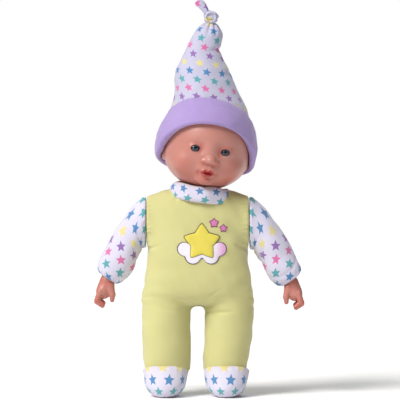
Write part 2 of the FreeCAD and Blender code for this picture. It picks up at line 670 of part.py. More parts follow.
def eye_iris(side):
    centre = eye_centre(side)
    lens = Part.makeSphere(EYE_R + 0.05, centre)
    return head_place(lens.common(rod(centre + V(0, 2 - EYE_R, 0), centre + V(0, -9, 0), IRIS_R - 0.02)))


# ---- cap ----
def cap_loft(inset):
    rings = []
    for z, width, depth, aside, back in CAP:
        height = z - (inset if z == CAP[-1][0] else 0)
        rings.append(ring(V(aside, back, height), max(width - inset, 2.0), max(depth - inset, 2.0)))
    return loft(rings)


def below(edge, floor=-20.0):
    """Everything under a curved edge that runs from front to back."""
    curve = Part.BSplineCurve()
    curve.interpolate([V(-80, y, z) for y, z in edge])
    front, back = curve.StartPoint, curve.EndPoint
    corners = [back, V(-80, back.y, floor), V(-80, front.y, floor), front]
    outline = Part.Wire([curve.toShape()] + Part.makePolygon(corners).Edges)
    return Part.Face(outline).extrude(X * 160)


def cap_cuff():
    band = cap_loft(0).cut(cap_loft(CUFF_THICK))
    return head_place(band.cut(below(CUFF_LOW)).common(below(CUFF_HIGH)))


def cap_crown():
    crown = cap_loft(CROWN_STEP).cut(cap_loft(CROWN_STEP + CROWN_THICK))
    raised = [(y, z + 0.15) for y, z in CUFF_HIGH]
    return head_place(crown.cut(below(raised)))


def cap_knot():
    return head_place(ellipsoid(*KNOT))


def cap_tail():
    """The free end of the knot, a short tapered tail."""
    along = (TAIL[2] - TAIL[0]).normalize()
    across = Y.cross(along)
    rings = [ring(p, r, r * 0.75, across, Y) for p, r in zip(TAIL, TAIL_R)]
    tip = ring(TAIL[2] + along * 1.6, TAIL_R[2] * 0.5, TAIL_R[2] * 0.4, across, Y)
    return head_place(loft(rings + [tip]).cut(ellipsoid(*KNOT)))


# ---- the whole doll ----
def build():
    nodes = {
        "torso_cover": torso_cover(),
        "torso_stuffing": torso_stuffing(),
        "pocket_lining": pocket_lining(),
        "neck_tie": neck_tie(),
        "roll_collar": roll_collar(),
        "star_patch": star_patch(),
        "cloud_patch": cloud_patch(),
        "small_star_patches": small_star_patches(),
        "back_flap": back_flap(),
        "hook_strip": closure_strip(HOOK_LAYER),
        "loop_strip": closure_strip(LOOP_LAYER),
        "front_case": front_case(),
        "rear_case": rear_case(),
        "battery_door": battery_door(),
        "battery_door_screw": screw(0, DOOR_SCREW_Z, CASE_BACK + 0.05, 6.5),
        "case_screws": case_screws(),
        "button_cells": button_cells(),
        "battery_contacts": battery_contacts(),
        "circuit_board": circuit_board(),
        "board_parts": board_parts(),
        "tact_switch": tact_switch(),
        "speaker_frame": speaker_frame(),
        "speaker_cone": speaker_cone(),
        "speaker_magnet": speaker_magnet(),
        "speaker_leads": speaker_leads(),
        "press_button": press_button(),
        "button_spring": button_spring(),
        "power_slider": power_slider(),
        "head_shell": head_shell(),
        "cap_cuff": cap_cuff(),
        "cap_crown": cap_crown(),
        "cap_knot": cap_knot(),
        "cap_tail": cap_tail(),
    }
    for side in SIDES:
        nodes[side + "_eye"] = eye_ball(side)
        nodes[side + "_iris"] = eye_iris(side)
        nodes[side + "_sleeve"] = sleeve(side)
        nodes[side + "_arm_stuffing"] = arm_stuffing(side)
        nodes[side + "_wrist_tie"] = wrist_tie(side)
        nodes[side + "_hand"] = hand(side)
        nodes[side + "_leg_cover"] = leg_cover(side)
        nodes[side + "_leg_stuffing"] = leg_stuffing(side)
        nodes[side + "_foot_cover"] = foot_cover(side)
        nodes[side + "_foot_stuffing"] = foot_stuffing(side)
    return nodes


def main():
    os.makedirs("parts", exist_ok=True)
    for name, shape in build().items():
        if len(shape.Solids) == 1:
            shape = shape.Solids[0]
        shape.translate(V(0, -CENTRE_BACK, 0))
        print(f"{name}: valid {shape.isValid()}, {len(shape.Solids)} solids, {shape.Volume / 1000:.2f} cm3")
        shape.exportStep(f"parts/{name}.step")


main()
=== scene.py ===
"""Looks of the soft-bodied baby doll: cloth body, star-print sleeves, feet, collar and cap, vinyl face.

Sizes are in millimetres in the frame of the CAD part (+Z up, the doll faces -Y) and become metres in add_mesh().
The head, its cap and the collar are drawn in the head's own frame, which head_place() maps to the doll's.
"""
import json
import math
import bpy
import numpy as np
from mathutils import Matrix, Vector


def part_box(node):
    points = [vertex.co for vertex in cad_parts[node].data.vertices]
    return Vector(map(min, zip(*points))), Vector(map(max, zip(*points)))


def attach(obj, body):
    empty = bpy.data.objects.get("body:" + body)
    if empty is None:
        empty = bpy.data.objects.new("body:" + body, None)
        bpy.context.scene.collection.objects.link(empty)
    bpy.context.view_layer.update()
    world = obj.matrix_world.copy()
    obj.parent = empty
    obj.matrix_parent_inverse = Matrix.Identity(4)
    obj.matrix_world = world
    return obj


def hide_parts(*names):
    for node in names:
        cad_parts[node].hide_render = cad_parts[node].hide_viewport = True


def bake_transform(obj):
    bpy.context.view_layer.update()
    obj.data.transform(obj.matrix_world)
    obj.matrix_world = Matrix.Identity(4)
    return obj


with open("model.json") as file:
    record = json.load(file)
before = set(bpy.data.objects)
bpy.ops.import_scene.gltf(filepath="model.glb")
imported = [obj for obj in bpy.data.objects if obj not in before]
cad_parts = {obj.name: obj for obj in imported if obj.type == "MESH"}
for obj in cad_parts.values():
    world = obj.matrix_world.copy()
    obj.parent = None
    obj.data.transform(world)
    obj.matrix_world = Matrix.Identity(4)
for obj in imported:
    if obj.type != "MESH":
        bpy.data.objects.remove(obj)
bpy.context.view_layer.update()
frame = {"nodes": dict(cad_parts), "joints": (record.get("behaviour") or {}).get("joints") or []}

MM = 0.001
JOINTS = {j["name"]: j for j in frame["joints"]}
SIDES = {"left": 1, "right": -1}


# ---- places taken from the frame ----
def joint_place(name):
    """A hinge's point in millimetres and its axis."""
    joint = JOINTS[name]
    return np.array(joint["pos_m"]) / MM, np.array(joint["axis"])


NECK, HEAD_AXIS = joint_place("head_turn")
MID_Y = NECK[1]  # the trunk's middle plane
HEAD_YAW = math.radians(5)
HEAD_ROLL = math.atan2(HEAD_AXIS[0], HEAD_AXIS[2])


def turn_about(axis, angle):
    """Rotation matrix about X, Y or Z."""
    c, s = math.cos(angle), math.sin(angle)
    i, j = {"x": (1, 2), "y": (2, 0), "z": (0, 1)}[axis]
    matrix = np.eye(3)
    matrix[i, i] = matrix[j, j] = c
    matrix[i, j], matrix[j, i] = -s, s
    return matrix


HEAD = turn_about("y", HEAD_ROLL) @ turn_about("z", HEAD_YAW)


def head_place(points):
    return points @ HEAD.T + NECK


# ---- fields: signed distances of simple shapes, and smooth ways to join them ----
def ellipsoid(p, centre, half):
    q = (p - np.array(centre)) / np.array(half)
    k0 = np.linalg.norm(q, axis=-1)
    k1 = np.linalg.norm(q / np.array(half), axis=-1)
    return k0 * (k0 - 1) / np.maximum(k1, 1e-6)


def capsule(p, a, b, ra, rb):
    """A rod from a to b with round ends, of radius ra at a and rb at b."""
    a, b = np.array(a, float), np.array(b, float)
    along = b - a
    t = np.clip((p - a) @ along / (along @ along), 0, 1)
    return np.linalg.norm(p - a - t[..., None] * along, axis=-1) - (ra + (rb - ra) * t)


def block(p, centre, half, corner):
    q = np.abs(p - np.array(centre)) - (np.array(half) - corner)
    return np.linalg.norm(np.maximum(q, 0), axis=-1) + np.minimum(q.max(-1), 0) - corner


def join(a, b, k):
    h = np.clip(0.5 + 0.5 * (b - a) / k, 0, 1)
    return b * (1 - h) + a * h - k * h * (1 - h)


def carve(a, b, k):
    return -join(-a, b, k)


def smooth(stations, z):
    """A smooth curve through rows of (z, value, value, ...), with no overshoot."""
    table = np.array(stations, float)
    xs, ys = table[:, 0], table[:, 1:]
    step = np.diff(xs)[:, None]
    slope = np.diff(ys, axis=0) / step
    before, after = slope[:-1], slope[1:]
    inner = np.where(before * after > 0, 2 * before * after / (before + after + 1e-12), 0)
    tangent = np.vstack([slope[:1], inner, slope[-1:]])
    z = np.clip(np.asarray(z, float), xs[0], xs[-1])
    k = np.clip(np.searchsorted(xs, z, side="right") - 1, 0, len(xs) - 2)
    h = step[k, 0]
    t = ((z - xs[k]) / h)[..., None]
    h = h[..., None]
    a = (1 + 2 * t) * (1 - t) ** 2
    b = t * (1 - t) ** 2 * h
    c = t * t * (3 - 2 * t)
    d = t * t * (t - 1) * h
    return a * ys[k] + b * tangent[k] + c * ys[k + 1] + d * tangent[k + 1]


def bell(x, width):
    """1 at 0, falling smoothly to nothing by about twice the width."""
    return np.exp(-((x / width) ** 2))


def ramp(x, low, high):
    t = np.clip((x - low) / (high - low), 0, 1)
    return t * t * (3 - 2 * t)


def lumps(p, wavelength, seed):
    """Soft unevenness between -1 and 1, from a few crossed waves."""
    rng = np.random.default_rng(seed)
    total = np.zeros(p.shape[:-1])
    for _ in range(6):
        direction = rng.normal(size=3)
        direction *= 2 * math.pi / (wavelength * rng.uniform(0.7, 1.5) * np.linalg.norm(direction))
        total += np.sin(p @ direction + rng.uniform(0, 6.3))
    return total / 3.5


# ---- meshes ----
def skin(field, low, high, step):
    """The zero surface of a field: points, quads and outward normals (surface nets, pulled onto it)."""
    axes = [np.arange(l, h + step, step) for l, h in zip(low, high)]
    grid = np.stack(np.meshgrid(*axes, indexing="ij"), -1)
    values = field(grid)
    inside = values < 0
    cells = tuple(n - 1 for n in values.shape)
    total = np.zeros(cells + (3,))
    count = np.zeros(cells)
    crossed = []
    for axis in range(3):
        first = [slice(None)] * 3
        second = [slice(None)] * 3
        first[axis], second[axis] = slice(None, -1), slice(1, None)
        f0, f1 = values[tuple(first)], values[tuple(second)]
        cross = inside[tuple(first)] != inside[tuple(second)]
        crossed.append(cross)
        share = np.where(cross, f0 / np.where(cross, f0 - f1, 1), 0)
        point = grid[tuple(first)].copy()
        point[..., axis] += share * step
        others = [a for a in range(3) if a != axis]
        for du in (0, 1):
            for dv in (0, 1):
                part = [slice(None)] * 3
                part[others[0]] = slice(du, cells[others[0]] + du)
                part[others[1]] = slice(dv, cells[others[1]] + dv)
                hit = cross[tuple(part)]
                total += point[tuple(part)] * hit[..., None]
                count += hit
    used = count > 0
    index = np.full(cells, -1)
    index[used] = np.arange(used.sum())
    points = total[used] / count[used][:, None]
    quads = []
    for axis in range(3):
        u, v = [a for a in range(3) if a != axis]
        spots = np.argwhere(crossed[axis])
        across, along = spots[:, u], spots[:, v]
        spots = spots[(across > 0) & (along > 0) & (across < cells[u]) & (along < cells[v])]
        corners = []
        for du, dv in ((1, 1), (0, 1), (0, 0), (1, 0)):
            cell = spots.copy()
            cell[:, u] -= du
            cell[:, v] -= dv
            corners.append(index[cell[:, 0], cell[:, 1], cell[:, 2]])
        face = np.stack(corners, 1)
        flip = inside[spots[:, 0], spots[:, 1], spots[:, 2]] == (axis == 1)
        face[flip] = face[flip][:, ::-1]
        quads.append(face)
    for _ in range(2):
        slope = gradient(field, points)
        points = points - slope * np.clip(field(points), -step, step)[:, None]
    return points, np.vstack(quads), gradient(field, points)


SLOPE_STEP = 0.25  # mm, taken either side of a point


def gradient(field, points):
    """Unit outward direction of a field at some points."""
    slope = np.stack([field(points + d) - field(points - d) for d in np.eye(3) * SLOPE_STEP], -1)
    return slope / np.maximum(np.linalg.norm(slope, axis=-1, keepdims=True), 1e-9)


def add_mesh(name, points, faces, uv=None, normals=None, paint=None, material=None):
    """A smooth-shaded object. uv holds one pair per face corner, paint one value or colour per point."""
    mesh = bpy.data.meshes.new(name)
    mesh.from_pydata((np.asarray(points) * MM).tolist(), [], [list(map(int, f)) for f in faces])
    mesh.shade_smooth()
    if uv is not None:
        layer = mesh.uv_layers.new(name="cloth")
        layer.data.foreach_set("uv", np.asarray(uv, np.float32).ravel())
    for key, values in (paint or {}).items():
        attribute = mesh.attributes.new(key, "FLOAT", "POINT")
        attribute.data.foreach_set("value", np.asarray(values, np.float32))
    if normals is not None:
        mesh.normals_split_custom_set_from_vertices(np.asarray(normals).tolist())
    obj = bpy.data.objects.new(name, mesh)
    bpy.context.scene.collection.objects.link(obj)
    if material is not None:
        mesh.materials.append(material)
    return obj


def wrapped_uv(faces, u, v, period):
    """UV per face corner for a surface whose u runs round and starts again after a period."""
    corner_u = u[faces]
    corner_u = np.where(corner_u - corner_u.min(1, keepdims=True) > period / 2, corner_u - period, corner_u)
    return np.stack([corner_u, v[faces]], -1).reshape(-1, 2)


def ring_faces(rows, columns):
    """Quads of a grid of rings; each ring is closed on itself."""
    r, c = (a.ravel() for a in np.meshgrid(np.arange(rows - 1), np.arange(columns), indexing="ij"))
    nxt = (c + 1) % columns
    return np.stack([r * columns + c, r * columns + nxt, (r + 1) * columns + nxt, (r + 1) * columns + c], 1)


def tube(name, rings, uv=None, close=(True, True), flip=False, **rest):
    """An object from rings of points. uv has one more column than the rings, for the seam."""
    rings = np.asarray(rings, float)
    rows, columns = rings.shape[:2]
    faces = [list(f) for f in ring_faces(rows, columns)]
    points = rings.reshape(-1, 3)
    corner_uv = None
    if uv is not None:
        uv = np.asarray(uv, float)
        r, c = np.meshgrid(np.arange(rows - 1), np.arange(columns), indexing="ij")
        corner_uv = np.stack([uv[r, c], uv[r, c + 1], uv[r + 1, c + 1], uv[r + 1, c]], 2).reshape(-1, 4, 2)
        corner_uv = [list(q) for q in corner_uv]
    for end, wanted in zip((0, rows - 1), close):
        if not wanted:
            continue
        centre = len(points)
        points = np.vstack([points, rings[end].mean(0)])
        for c in range(columns):
            a, b = end * columns + c, end * columns + (c + 1) % columns
            faces.append([b, a, centre] if end == 0 else [a, b, centre])
            if corner_uv is not None:
                ua, ub = uv[end, c], uv[end, c + 1]
                corner_uv.append([ub, ua, ua] if end == 0 else [ua, ub, ua])
    if flip:
        faces = [f[::-1] for f in faces]
        corner_uv = None if corner_uv is None else [q[::-1] for q in corner_uv]
    flat = None if corner_uv is None else np.array([pair for quad in corner_uv for pair in quad])
    return add_mesh(name, points, faces, uv=flat, **rest)


def turns(columns):
    """Angles of the columns of a ring, once round."""
    return np.linspace(0, 2 * math.pi, columns, endpoint=False)


def outward_from(rings, middle, level=False):
    """Unit directions away from a middle, level ones if asked."""
    away = rings - middle
    if level:
        away[..., 2] = 0
    return away / np.linalg.norm(away, axis=2, keepdims=True)


def pushed(rings, outward, distance):
    return rings + outward * distance[..., None]


def in_mm(box):
    """The low and high corners of a CAD box, in millimetres."""
    return [np.array(corner) / MM for corner in box]


def ellipse_ring(centre, u, v, half_u, half_v, columns, power=2.0, start=0.0):
    angle = start + turns(columns)
    c, s = np.cos(angle), np.sin(angle)
    c = np.sign(c) * np.abs(c) ** (2 / power)
    s = np.sign(s) * np.abs(s) ** (2 / power)
    return centre + np.outer(c * half_u, u) + np.outer(s * half_v, v)


def lengths_round(rings):
    """How far round its ring each point lies, with the whole length at the end."""
    loop = np.concatenate([rings, rings[:, :1]], 1)
    across = np.linalg.norm(np.diff(loop, axis=1), axis=2)
    return np.concatenate([np.zeros((len(rings), 1)), np.cumsum(across, 1)], 1)


def round_uv(rings):
    """UV in millimetres of cloth: u round each ring at its own length, v along the middle of the rows."""
    u = lengths_round(rings)
    u -= u[:, -1:] / 2
    down = np.linalg.norm(np.diff(rings, axis=0), axis=2).mean(1)
    v = np.concatenate([[0], np.cumsum(down)])
    return np.stack([u, np.repeat(v[:, None], u.shape[1], 1)], -1)


# ---- materials ----
class Shader:
    """A material's nodes, with short calls to add maths and textures."""

    def __init__(self, name):
        self.material = bpy.data.materials.new(name)
        self.material.use_nodes = True
        self.tree = self.material.node_tree
        self.surface = self.tree.nodes["Principled BSDF"]

    def put(self, socket, value):
        if isinstance(value, bpy.types.NodeSocket):
            self.tree.links.new(value, socket)
        else:
            socket.default_value = value

    def math(self, operation, a, b=0.0, c=0.0):
        node = self.tree.nodes.new("ShaderNodeMath")
        node.operation = operation
        for socket, value in zip(node.inputs, (a, b, c)):
            self.put(socket, value)
        return node.outputs[0]

    def node(self, kind, output, settings=None, **inputs):
        node = self.tree.nodes.new(kind)
        for key, value in (settings or {}).items():
            setattr(node, key, value)
        for key, value in inputs.items():
            self.put(node.inputs[key.replace("_", " ")], value)
        return node.outputs[output]

    def place(self):
        return self.node("ShaderNodeTexCoord", "Object")

    def uv(self):
        """The cloth's own coordinates, in millimetres."""
        node = self.tree.nodes.new("ShaderNodeSeparateXYZ")
        self.put(node.inputs[0], self.node("ShaderNodeUVMap", "UV", {"uv_map": "cloth"}))
        return node.outputs[0], node.outputs[1]

    def attribute(self, name):
        return self.node("ShaderNodeAttribute", "Fac", {"attribute_name": name})

    def noise(self, scale, detail=3.0, vector=None):
        vector = vector or self.place()
        return self.node("ShaderNodeTexNoise", "Fac", Vector=vector, Scale=scale, Detail=detail)

    def mix(self, factor, a, b):
        node = self.tree.nodes.new("ShaderNodeMix")
        node.data_type = "RGBA"
        self.put(node.inputs[0], factor)
        self.put(node.inputs[6], colour(a) if isinstance(a, tuple) else a)
        self.put(node.inputs[7], colour(b) if isinstance(b, tuple) else b)
        return node.outputs[2]

    def between(self, value, low, high):
        """A value from 0..1 stretched to low..high."""
        return self.math("MULTIPLY_ADD", value, high - low, low)

    def step(self, value, low, high):
        node = self.tree.nodes.new("ShaderNodeMapRange")
        node.interpolation_type = "SMOOTHSTEP"
        self.put(node.inputs[0], value)
        self.put(node.inputs[1], low)
        self.put(node.inputs[2], high)
        return node.outputs[0]

    def bands(self, value, stops):
        """Flat bands of colour; stops are (start, colour)."""
        node = self.tree.nodes.new("ShaderNodeValToRGB")
        node.color_ramp.interpolation = "CONSTANT"
        elements = node.color_ramp.elements
        while len(elements) < len(stops):
            elements.new(0.5)
        for element, (place, shade) in zip(elements, stops):
            element.position = place
            element.color = colour(shade)
        self.put(node.inputs[0], value)
        return node.outputs[0]

    def bump(self, height, distance_mm, strength=1.0, after=None):
        node = self.tree.nodes.new("ShaderNodeBump")
        node.inputs["Strength"].default_value = strength
        node.inputs["Distance"].default_value = distance_mm * MM
        self.put(node.inputs["Height"], height)
        if after is not None:
            self.put(node.inputs["Normal"], after)
        return node.outputs[0]

    def finish(self, base, roughness, normal=None, **values):
        self.put(self.surface.inputs["Base Color"], colour(base) if isinstance(base, tuple) else base)
        self.put(self.surface.inputs["Roughness"], roughness)
        if normal is not None:
            self.put(self.surface.inputs["Normal"], normal)
        for key, value in values.items():
            self.surface.inputs[key.replace("_", " ")].default_value = value
        return self.material


def colour(rgb):
    """An sRGB colour of 0..255 as the linear colour that a shader takes."""
    linear = [(c / 255 / 12.92) if c / 255 <= 0.04045 else ((c / 255 + 0.055) / 1.055) ** 2.4 for c in rgb]
    return (*linear, 1.0)


STAR_SPACE, STAR_SHIFT, STAR_DENT = 16.8, 6.0, 0.46  # mm, and a share of the tip
STAR_COLOURS = [(224, 210, 128), (44, 124, 180), (66, 160, 168), (214, 98, 160), (138, 90, 168)]


def knit(shader, pitch_mm):
    """Height of jersey knit: rows of small leaning loops, from the cloth's own coordinates."""
    u, v = shader.uv()
    turn = 2 * math.pi / pitch_mm
    wale = shader.math("SINE", shader.math("MULTIPLY", u, turn))
    rise = shader.math("MULTIPLY", v, turn * 1.35)
    lean = shader.math("MULTIPLY_ADD", shader.math("ABSOLUTE", wale), 1.2, rise)
    course = shader.math("SINE", lean)
    return shader.math("MULTIPLY_ADD", wale, 0.5, course)


def star_print(name, first_row=0, ground=(210, 206, 226), shift_v=0.0, spacing=11.0, tip=5.4):
    """White jersey printed with rows of five-pointed stars, one colour to a row."""
    s = Shader(name)
    u, v = s.uv()
    v = s.math("ADD", v, shift_v)
    row = s.math("FLOOR", s.math("DIVIDE", v, spacing))
    shifted = s.math("MULTIPLY_ADD", row, STAR_SHIFT, u)
    column = s.math("FLOOR", s.math("DIVIDE", shifted, STAR_SPACE))
    x = s.math("SUBTRACT", shifted, s.math("MULTIPLY", s.math("ADD", column, 0.5), STAR_SPACE))
    y = s.math("SUBTRACT", v, s.math("MULTIPLY", s.math("ADD", row, 0.5), spacing))
    jitter = s.node("ShaderNodeTexWhiteNoise", "Value", {"noise_dimensions": "2D"}, Vector=pair(s, row, column))
    lean = s.math("MULTIPLY", s.math("SUBTRACT", jitter, 0.5), 0.5)
    angle = s.math("ADD", s.math("SUBTRACT", s.math("ARCTAN2", y, x), math.pi / 2), lean)
    fold = s.math("PINGPONG", angle, math.pi / 5)
    radius = s.math("SQRT", s.math("ADD", s.math("MULTIPLY", x, x), s.math("MULTIPLY", y, y)))
    along = s.math("MULTIPLY", radius, s.math("COSINE", fold))
    aside = s.math("MULTIPLY", radius, s.math("SINE", fold))
    dent = tip * STAR_DENT
    edge = np.array([dent * math.sin(math.pi / 5), tip - dent * math.cos(math.pi / 5)])
    edge /= np.linalg.norm(edge)
    reach = s.math("ADD", s.math("MULTIPLY", along, edge[0]), s.math("MULTIPLY", aside, edge[1]))
    star = s.math("SUBTRACT", 1.0, s.step(reach, edge[0] * tip - 0.22, edge[0] * tip + 0.22))
    order = s.math("MULTIPLY", row, -1.0)
    turn = s.math("FLOORED_MODULO", s.math("ADD", order, first_row + 0.5), 5.0)
    ink = s.bands(s.math("DIVIDE", turn, 5.0), [(k / 5, c) for k, c in enumerate(STAR_COLOURS)])
    ink_share = s.math("MULTIPLY", star, s.between(s.noise(900), 0.82, 1.0))
    cloth = s.mix(s.noise(60), ground, tuple(min(255, c + 8) for c in ground))
    base = s.mix(ink_share, cloth, ink)
    normal = s.bump(knit(s, 0.9), 0.10, 0.5)
    normal = s.bump(s.noise(160), 0.5, 0.25, normal)
    return s.finish(base, s.between(s.noise(500), 0.78, 0.92), normal, Sheen_Weight=0.25, Sheen_Roughness=0.45)


def pair(shader, a, b):
    node = shader.tree.nodes.new("ShaderNodeCombineXYZ")
    shader.put(node.inputs[0], a)
    shader.put(node.inputs[1], b)
    return node.outputs[0]


def jersey(name, light, dark, pitch=0.9, nap=0.35):
    """Plain knitted jersey with a soft nap."""
    s = Shader(name)
    cloud = s.noise(35, 4.0)
    fibre = s.noise(1400, 2.0)
    base = s.mix(s.between(cloud, 0.1, 0.9), dark, light)
    base = s.mix(s.between(fibre, 0.0, 0.25), base, dark)
    normal = s.bump(knit(s, pitch), 0.12, 0.45)
    normal = s.bump(fibre, 0.25, nap, normal)
    normal = s.bump(s.noise(120), 0.6, 0.25, normal)
    return s.finish(base, s.between(fibre, 0.82, 0.96), normal, Sheen_Weight=0.4, Sheen_Roughness=0.4)


def vinyl(name):
    """Soft painted vinyl: warm skin, with blush and painted shade, lips and lid lines from the mesh's own
    attributes.
    """
    s = Shader(name)
    mottled = s.noise(45, 4.0)
    base = s.mix(s.between(mottled, 0.2, 0.8), (186, 124, 112), (198, 136, 124))
    # blush, with painted shade under the nose and in the mouth's corners carried in the same share
    blush_and_shade = s.math("MULTIPLY", s.attribute("blush_and_shade"), s.between(s.noise(150), 0.75, 1.0))
    base = s.mix(blush_and_shade, base, (176, 72, 56))
    base = s.mix(s.attribute("lips"), base, (172, 40, 36))
    base = s.mix(s.attribute("lip_line"), base, (128, 6, 12))
    base = s.mix(s.attribute("lid_line"), base, (44, 24, 26))
    base = s.mix(s.attribute("hair"), base, (176, 122, 92))
    normal = s.bump(s.noise(2200, 2.0), 0.06, 0.35)
    normal = s.bump(s.noise(260, 2.0), 0.2, 0.12, normal)
    surface = s.finish(
        base, s.between(mottled, 0.34, 0.46), normal,
        Subsurface_Weight=0.12, Subsurface_Scale=0.004, Coat_Weight=0.12, Coat_Roughness=0.35,
    )
    s.surface.inputs["Subsurface Radius"].default_value = (1.0, 0.35, 0.2)
    return surface


def eye_material(name):
    """Glossy eye: an iris with spokes and a dark rim round a black pupil, and a white painted dull with the lids'
    shade, by distance from the eye's axis.
    """
    s = Shader(name)
    reach = s.attribute("from_axis")
    spokes = s.noise(900, 3.0)
    iris = s.mix(s.between(spokes, 0.1, 0.9), (50, 60, 86), (98, 110, 140))
    inner = s.mix(s.step(reach, 0.27, 0.32), (4, 4, 6), iris)
    rim = s.mix(s.step(reach, 0.37, 0.42), inner, (26, 28, 40))
    # painted shade: the white round the iris is a dull grey-mauve, as if shaded by the lids
    white = s.mix(s.step(reach, 0.48, 0.54), rim, (112, 98, 100))
    return s.finish(white, 0.12, None, Coat_Weight=0.5, Coat_Roughness=0.05)


def moulded(name, rgb, rough=0.45, grain_mm=0.05, speckle=0.06):
    """Moulded plastic with a fine spark-eroded texture and slight colour variation."""
    s = Shader(name)
    base = s.mix(s.noise(90, 3.0), rgb, tuple(c * (1 - speckle) for c in rgb))
    normal = s.bump(s.noise(2600, 2.0), grain_mm, 0.5)
    return s.finish(base, s.between(s.noise(300), rough - 0.05, rough + 0.08), normal)


def metal(name, rgb, rough=0.32):
    """Plated metal with fine drawn lines and a little tarnish."""
    s = Shader(name)
    mapping = s.node("ShaderNodeMapping", "Vector", Vector=s.place(), Scale=(1.0, 1.0, 14.0))
    lines = s.noise(1500, 3.0, mapping)
    base = s.mix(s.noise(200), rgb, tuple(c * 0.82 for c in rgb))
    normal = s.bump(lines, 0.02, 0.4)
    return s.finish(base, s.between(lines, rough - 0.08, rough + 0.12), normal, Metallic=1.0)


def laminate(name):
    """Green solder mask over copper tracks."""
    s = Shader(name)
    tracks = s.node("ShaderNodeTexBrick", "Fac", Vector=s.place(), Scale=160.0)
    base = s.mix(tracks, (22, 92, 48), (34, 122, 66))
    normal = s.bump(tracks, 0.05, 0.5)
    return s.finish(base, s.between(s.noise(300), 0.30, 0.42), normal, Coat_Weight=0.4)


def hooked(name, rgb):
    """Hook-and-loop tape: a field of tiny tufts."""
    s = Shader(name)
    tufts = s.node("ShaderNodeTexVoronoi", "Distance", Vector=s.place(), Scale=1600.0)
    base = s.mix(tufts, rgb, tuple(c * 0.7 for c in rgb))
    return s.finish(base, 0.9, s.bump(tufts, 0.4, 0.8), Sheen_Weight=0.2)


YELLOW_LIGHT, YELLOW_DARK = (216, 213, 152), (198, 192, 128)
body_cloth = jersey("yellow_jersey", YELLOW_LIGHT, YELLOW_DARK)
cuff_cloth = jersey("lilac_jersey", (182, 160, 214), (158, 134, 194), pitch=1.1, nap=0.8)
cap_print = star_print("cap_star_print", first_row=4, ground=(188, 186, 210), shift_v=-1.0, spacing=9.1, tip=4.7)
sleeve_print = star_print("sleeve_star_print", first_row=2, shift_v=3.0)
foot_print = star_print("foot_star_print", first_row=4, shift_v=-4.0)
collar_print = star_print("collar_star_print", first_row=3, shift_v=2.0, spacing=9.0, tip=4.9)
skin_vinyl = vinyl("skin_vinyl")
eye_gloss = eye_material("eye_gloss")


def patch_cloth(name, fill, outline, tint=None):
    """Felt patch with a satin-stitched outline; edge is the distance in from the outline, in millimetres."""
    s = Shader(name)
    edge = s.attribute("edge")
    cloud = s.noise(120, 3.0)
    base = s.mix(s.between(cloud, 0.2, 0.8), fill, tuple(c * 0.93 for c in fill))
    if tint is not None:
        base = s.mix(s.math("MULTIPLY", s.attribute("tint"), 0.85), base, tint)
    threads = s.math("SINE", s.math("MULTIPLY", s.attribute("around"), 2 * math.pi / 0.45))
    satin = s.mix(s.between(threads, 0.35, 0.65), outline, tuple(min(255, c * 1.35) for c in outline))
    stitched = s.math("SUBTRACT", 1.0, s.step(edge, 0.85, 1.15))
    base = s.mix(stitched, base, satin)
    normal = s.bump(s.math("MULTIPLY", threads, stitched), 0.15, 0.7)
    normal = s.bump(s.noise(1800, 2.0), 0.15, 0.4, normal)
    return s.finish(base, s.between(cloud, 0.7, 0.88), normal, Sheen_Weight=0.2)


patch_finish = {
    "star": patch_cloth("star_felt", (228, 212, 84), (84, 76, 46)),
    "cloud": patch_cloth("cloud_felt", (236, 232, 240), (88, 66, 84), tint=(226, 160, 214)),
    "pink": patch_cloth("pink_felt", (216, 126, 180), (122, 66, 106)),
}

CAD_FINISHES = {
    moulded("nylon_tie", (226, 224, 214), 0.38): ["neck_tie", "left_wrist_tie", "right_wrist_tie"],
    hooked("hook_tape", (214, 212, 176)): ["hook_strip", "loop_strip"],
    moulded("white_case", (226, 226, 222), 0.5, 0.08): ["front_case", "rear_case", "battery_door"],
    moulded("button_blue", (96, 150, 196), 0.42): ["press_button"],
    moulded("black_plastic", (34, 34, 36), 0.46, 0.06, 0.15): ["power_slider", "tact_switch", "speaker_frame"],
    moulded("speaker_paper", (52, 48, 46), 0.85, 0.2, 0.2): ["speaker_cone", "board_parts"],
    moulded("wire_sleeve", (168, 34, 30), 0.4): ["speaker_leads"],
    laminate("solder_mask"): ["circuit_board"],
    metal("nickel_plate", (196, 194, 188)): ["battery_contacts", "button_spring", "button_cells", "speaker_magnet"],
    metal("zinc_screw", (176, 176, 172), 0.4): ["case_screws", "battery_door_screw"],
}
for finish, names in CAD_FINISHES.items():
    for name in names:
        data = frame["nodes"][name].data
        data.materials.clear()
        data.materials.append(finish)


# ---- trunk and legs: one stuffed suit, cut where the legs fold ----
TRUNK = [  # height, half width, half depth
    (86.5, 26.0, 4.0), (89.0, 46.0, 16.0), (94.0, 53.2, 26.0), (101.0, 52.8, 31.0), (107.0, 51.8, 32.6),
    (113.0, 51.5, 33.2), (124.0, 50.0, 33.2), (136.0, 49.0, 32.4), (160.0, 49.0, 29.0),
    (180.0, 48.6, 24.5), (190.0, 45.0, 20.5), (197.0, 35.0, 15.0), (201.0, 18.0, 7.0),
]
SEAM_X = JOINTS["left_shoulder"]["pos_m"][0] / MM
SEAM_Z = JOINTS["left_shoulder"]["pos_m"][2] / MM
SEAM_HALF_HEIGHT, SEAM_HALF_DEPTH = 23.5, 18.0
ARMPIT_Z = 143  # the sleeve's seam is cut square above this
HIP_X, _, HIP_Z = np.array(JOINTS["left_hip"]["pos_m"]) / MM
FOLD_TOP, FOLD_LOW = HIP_Z + 4.0, HIP_Z - 14.0  # the suit is cut into trunk and legs at the first height; the second is not used
ANKLE_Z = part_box("left_leg_cover")[0].z / MM
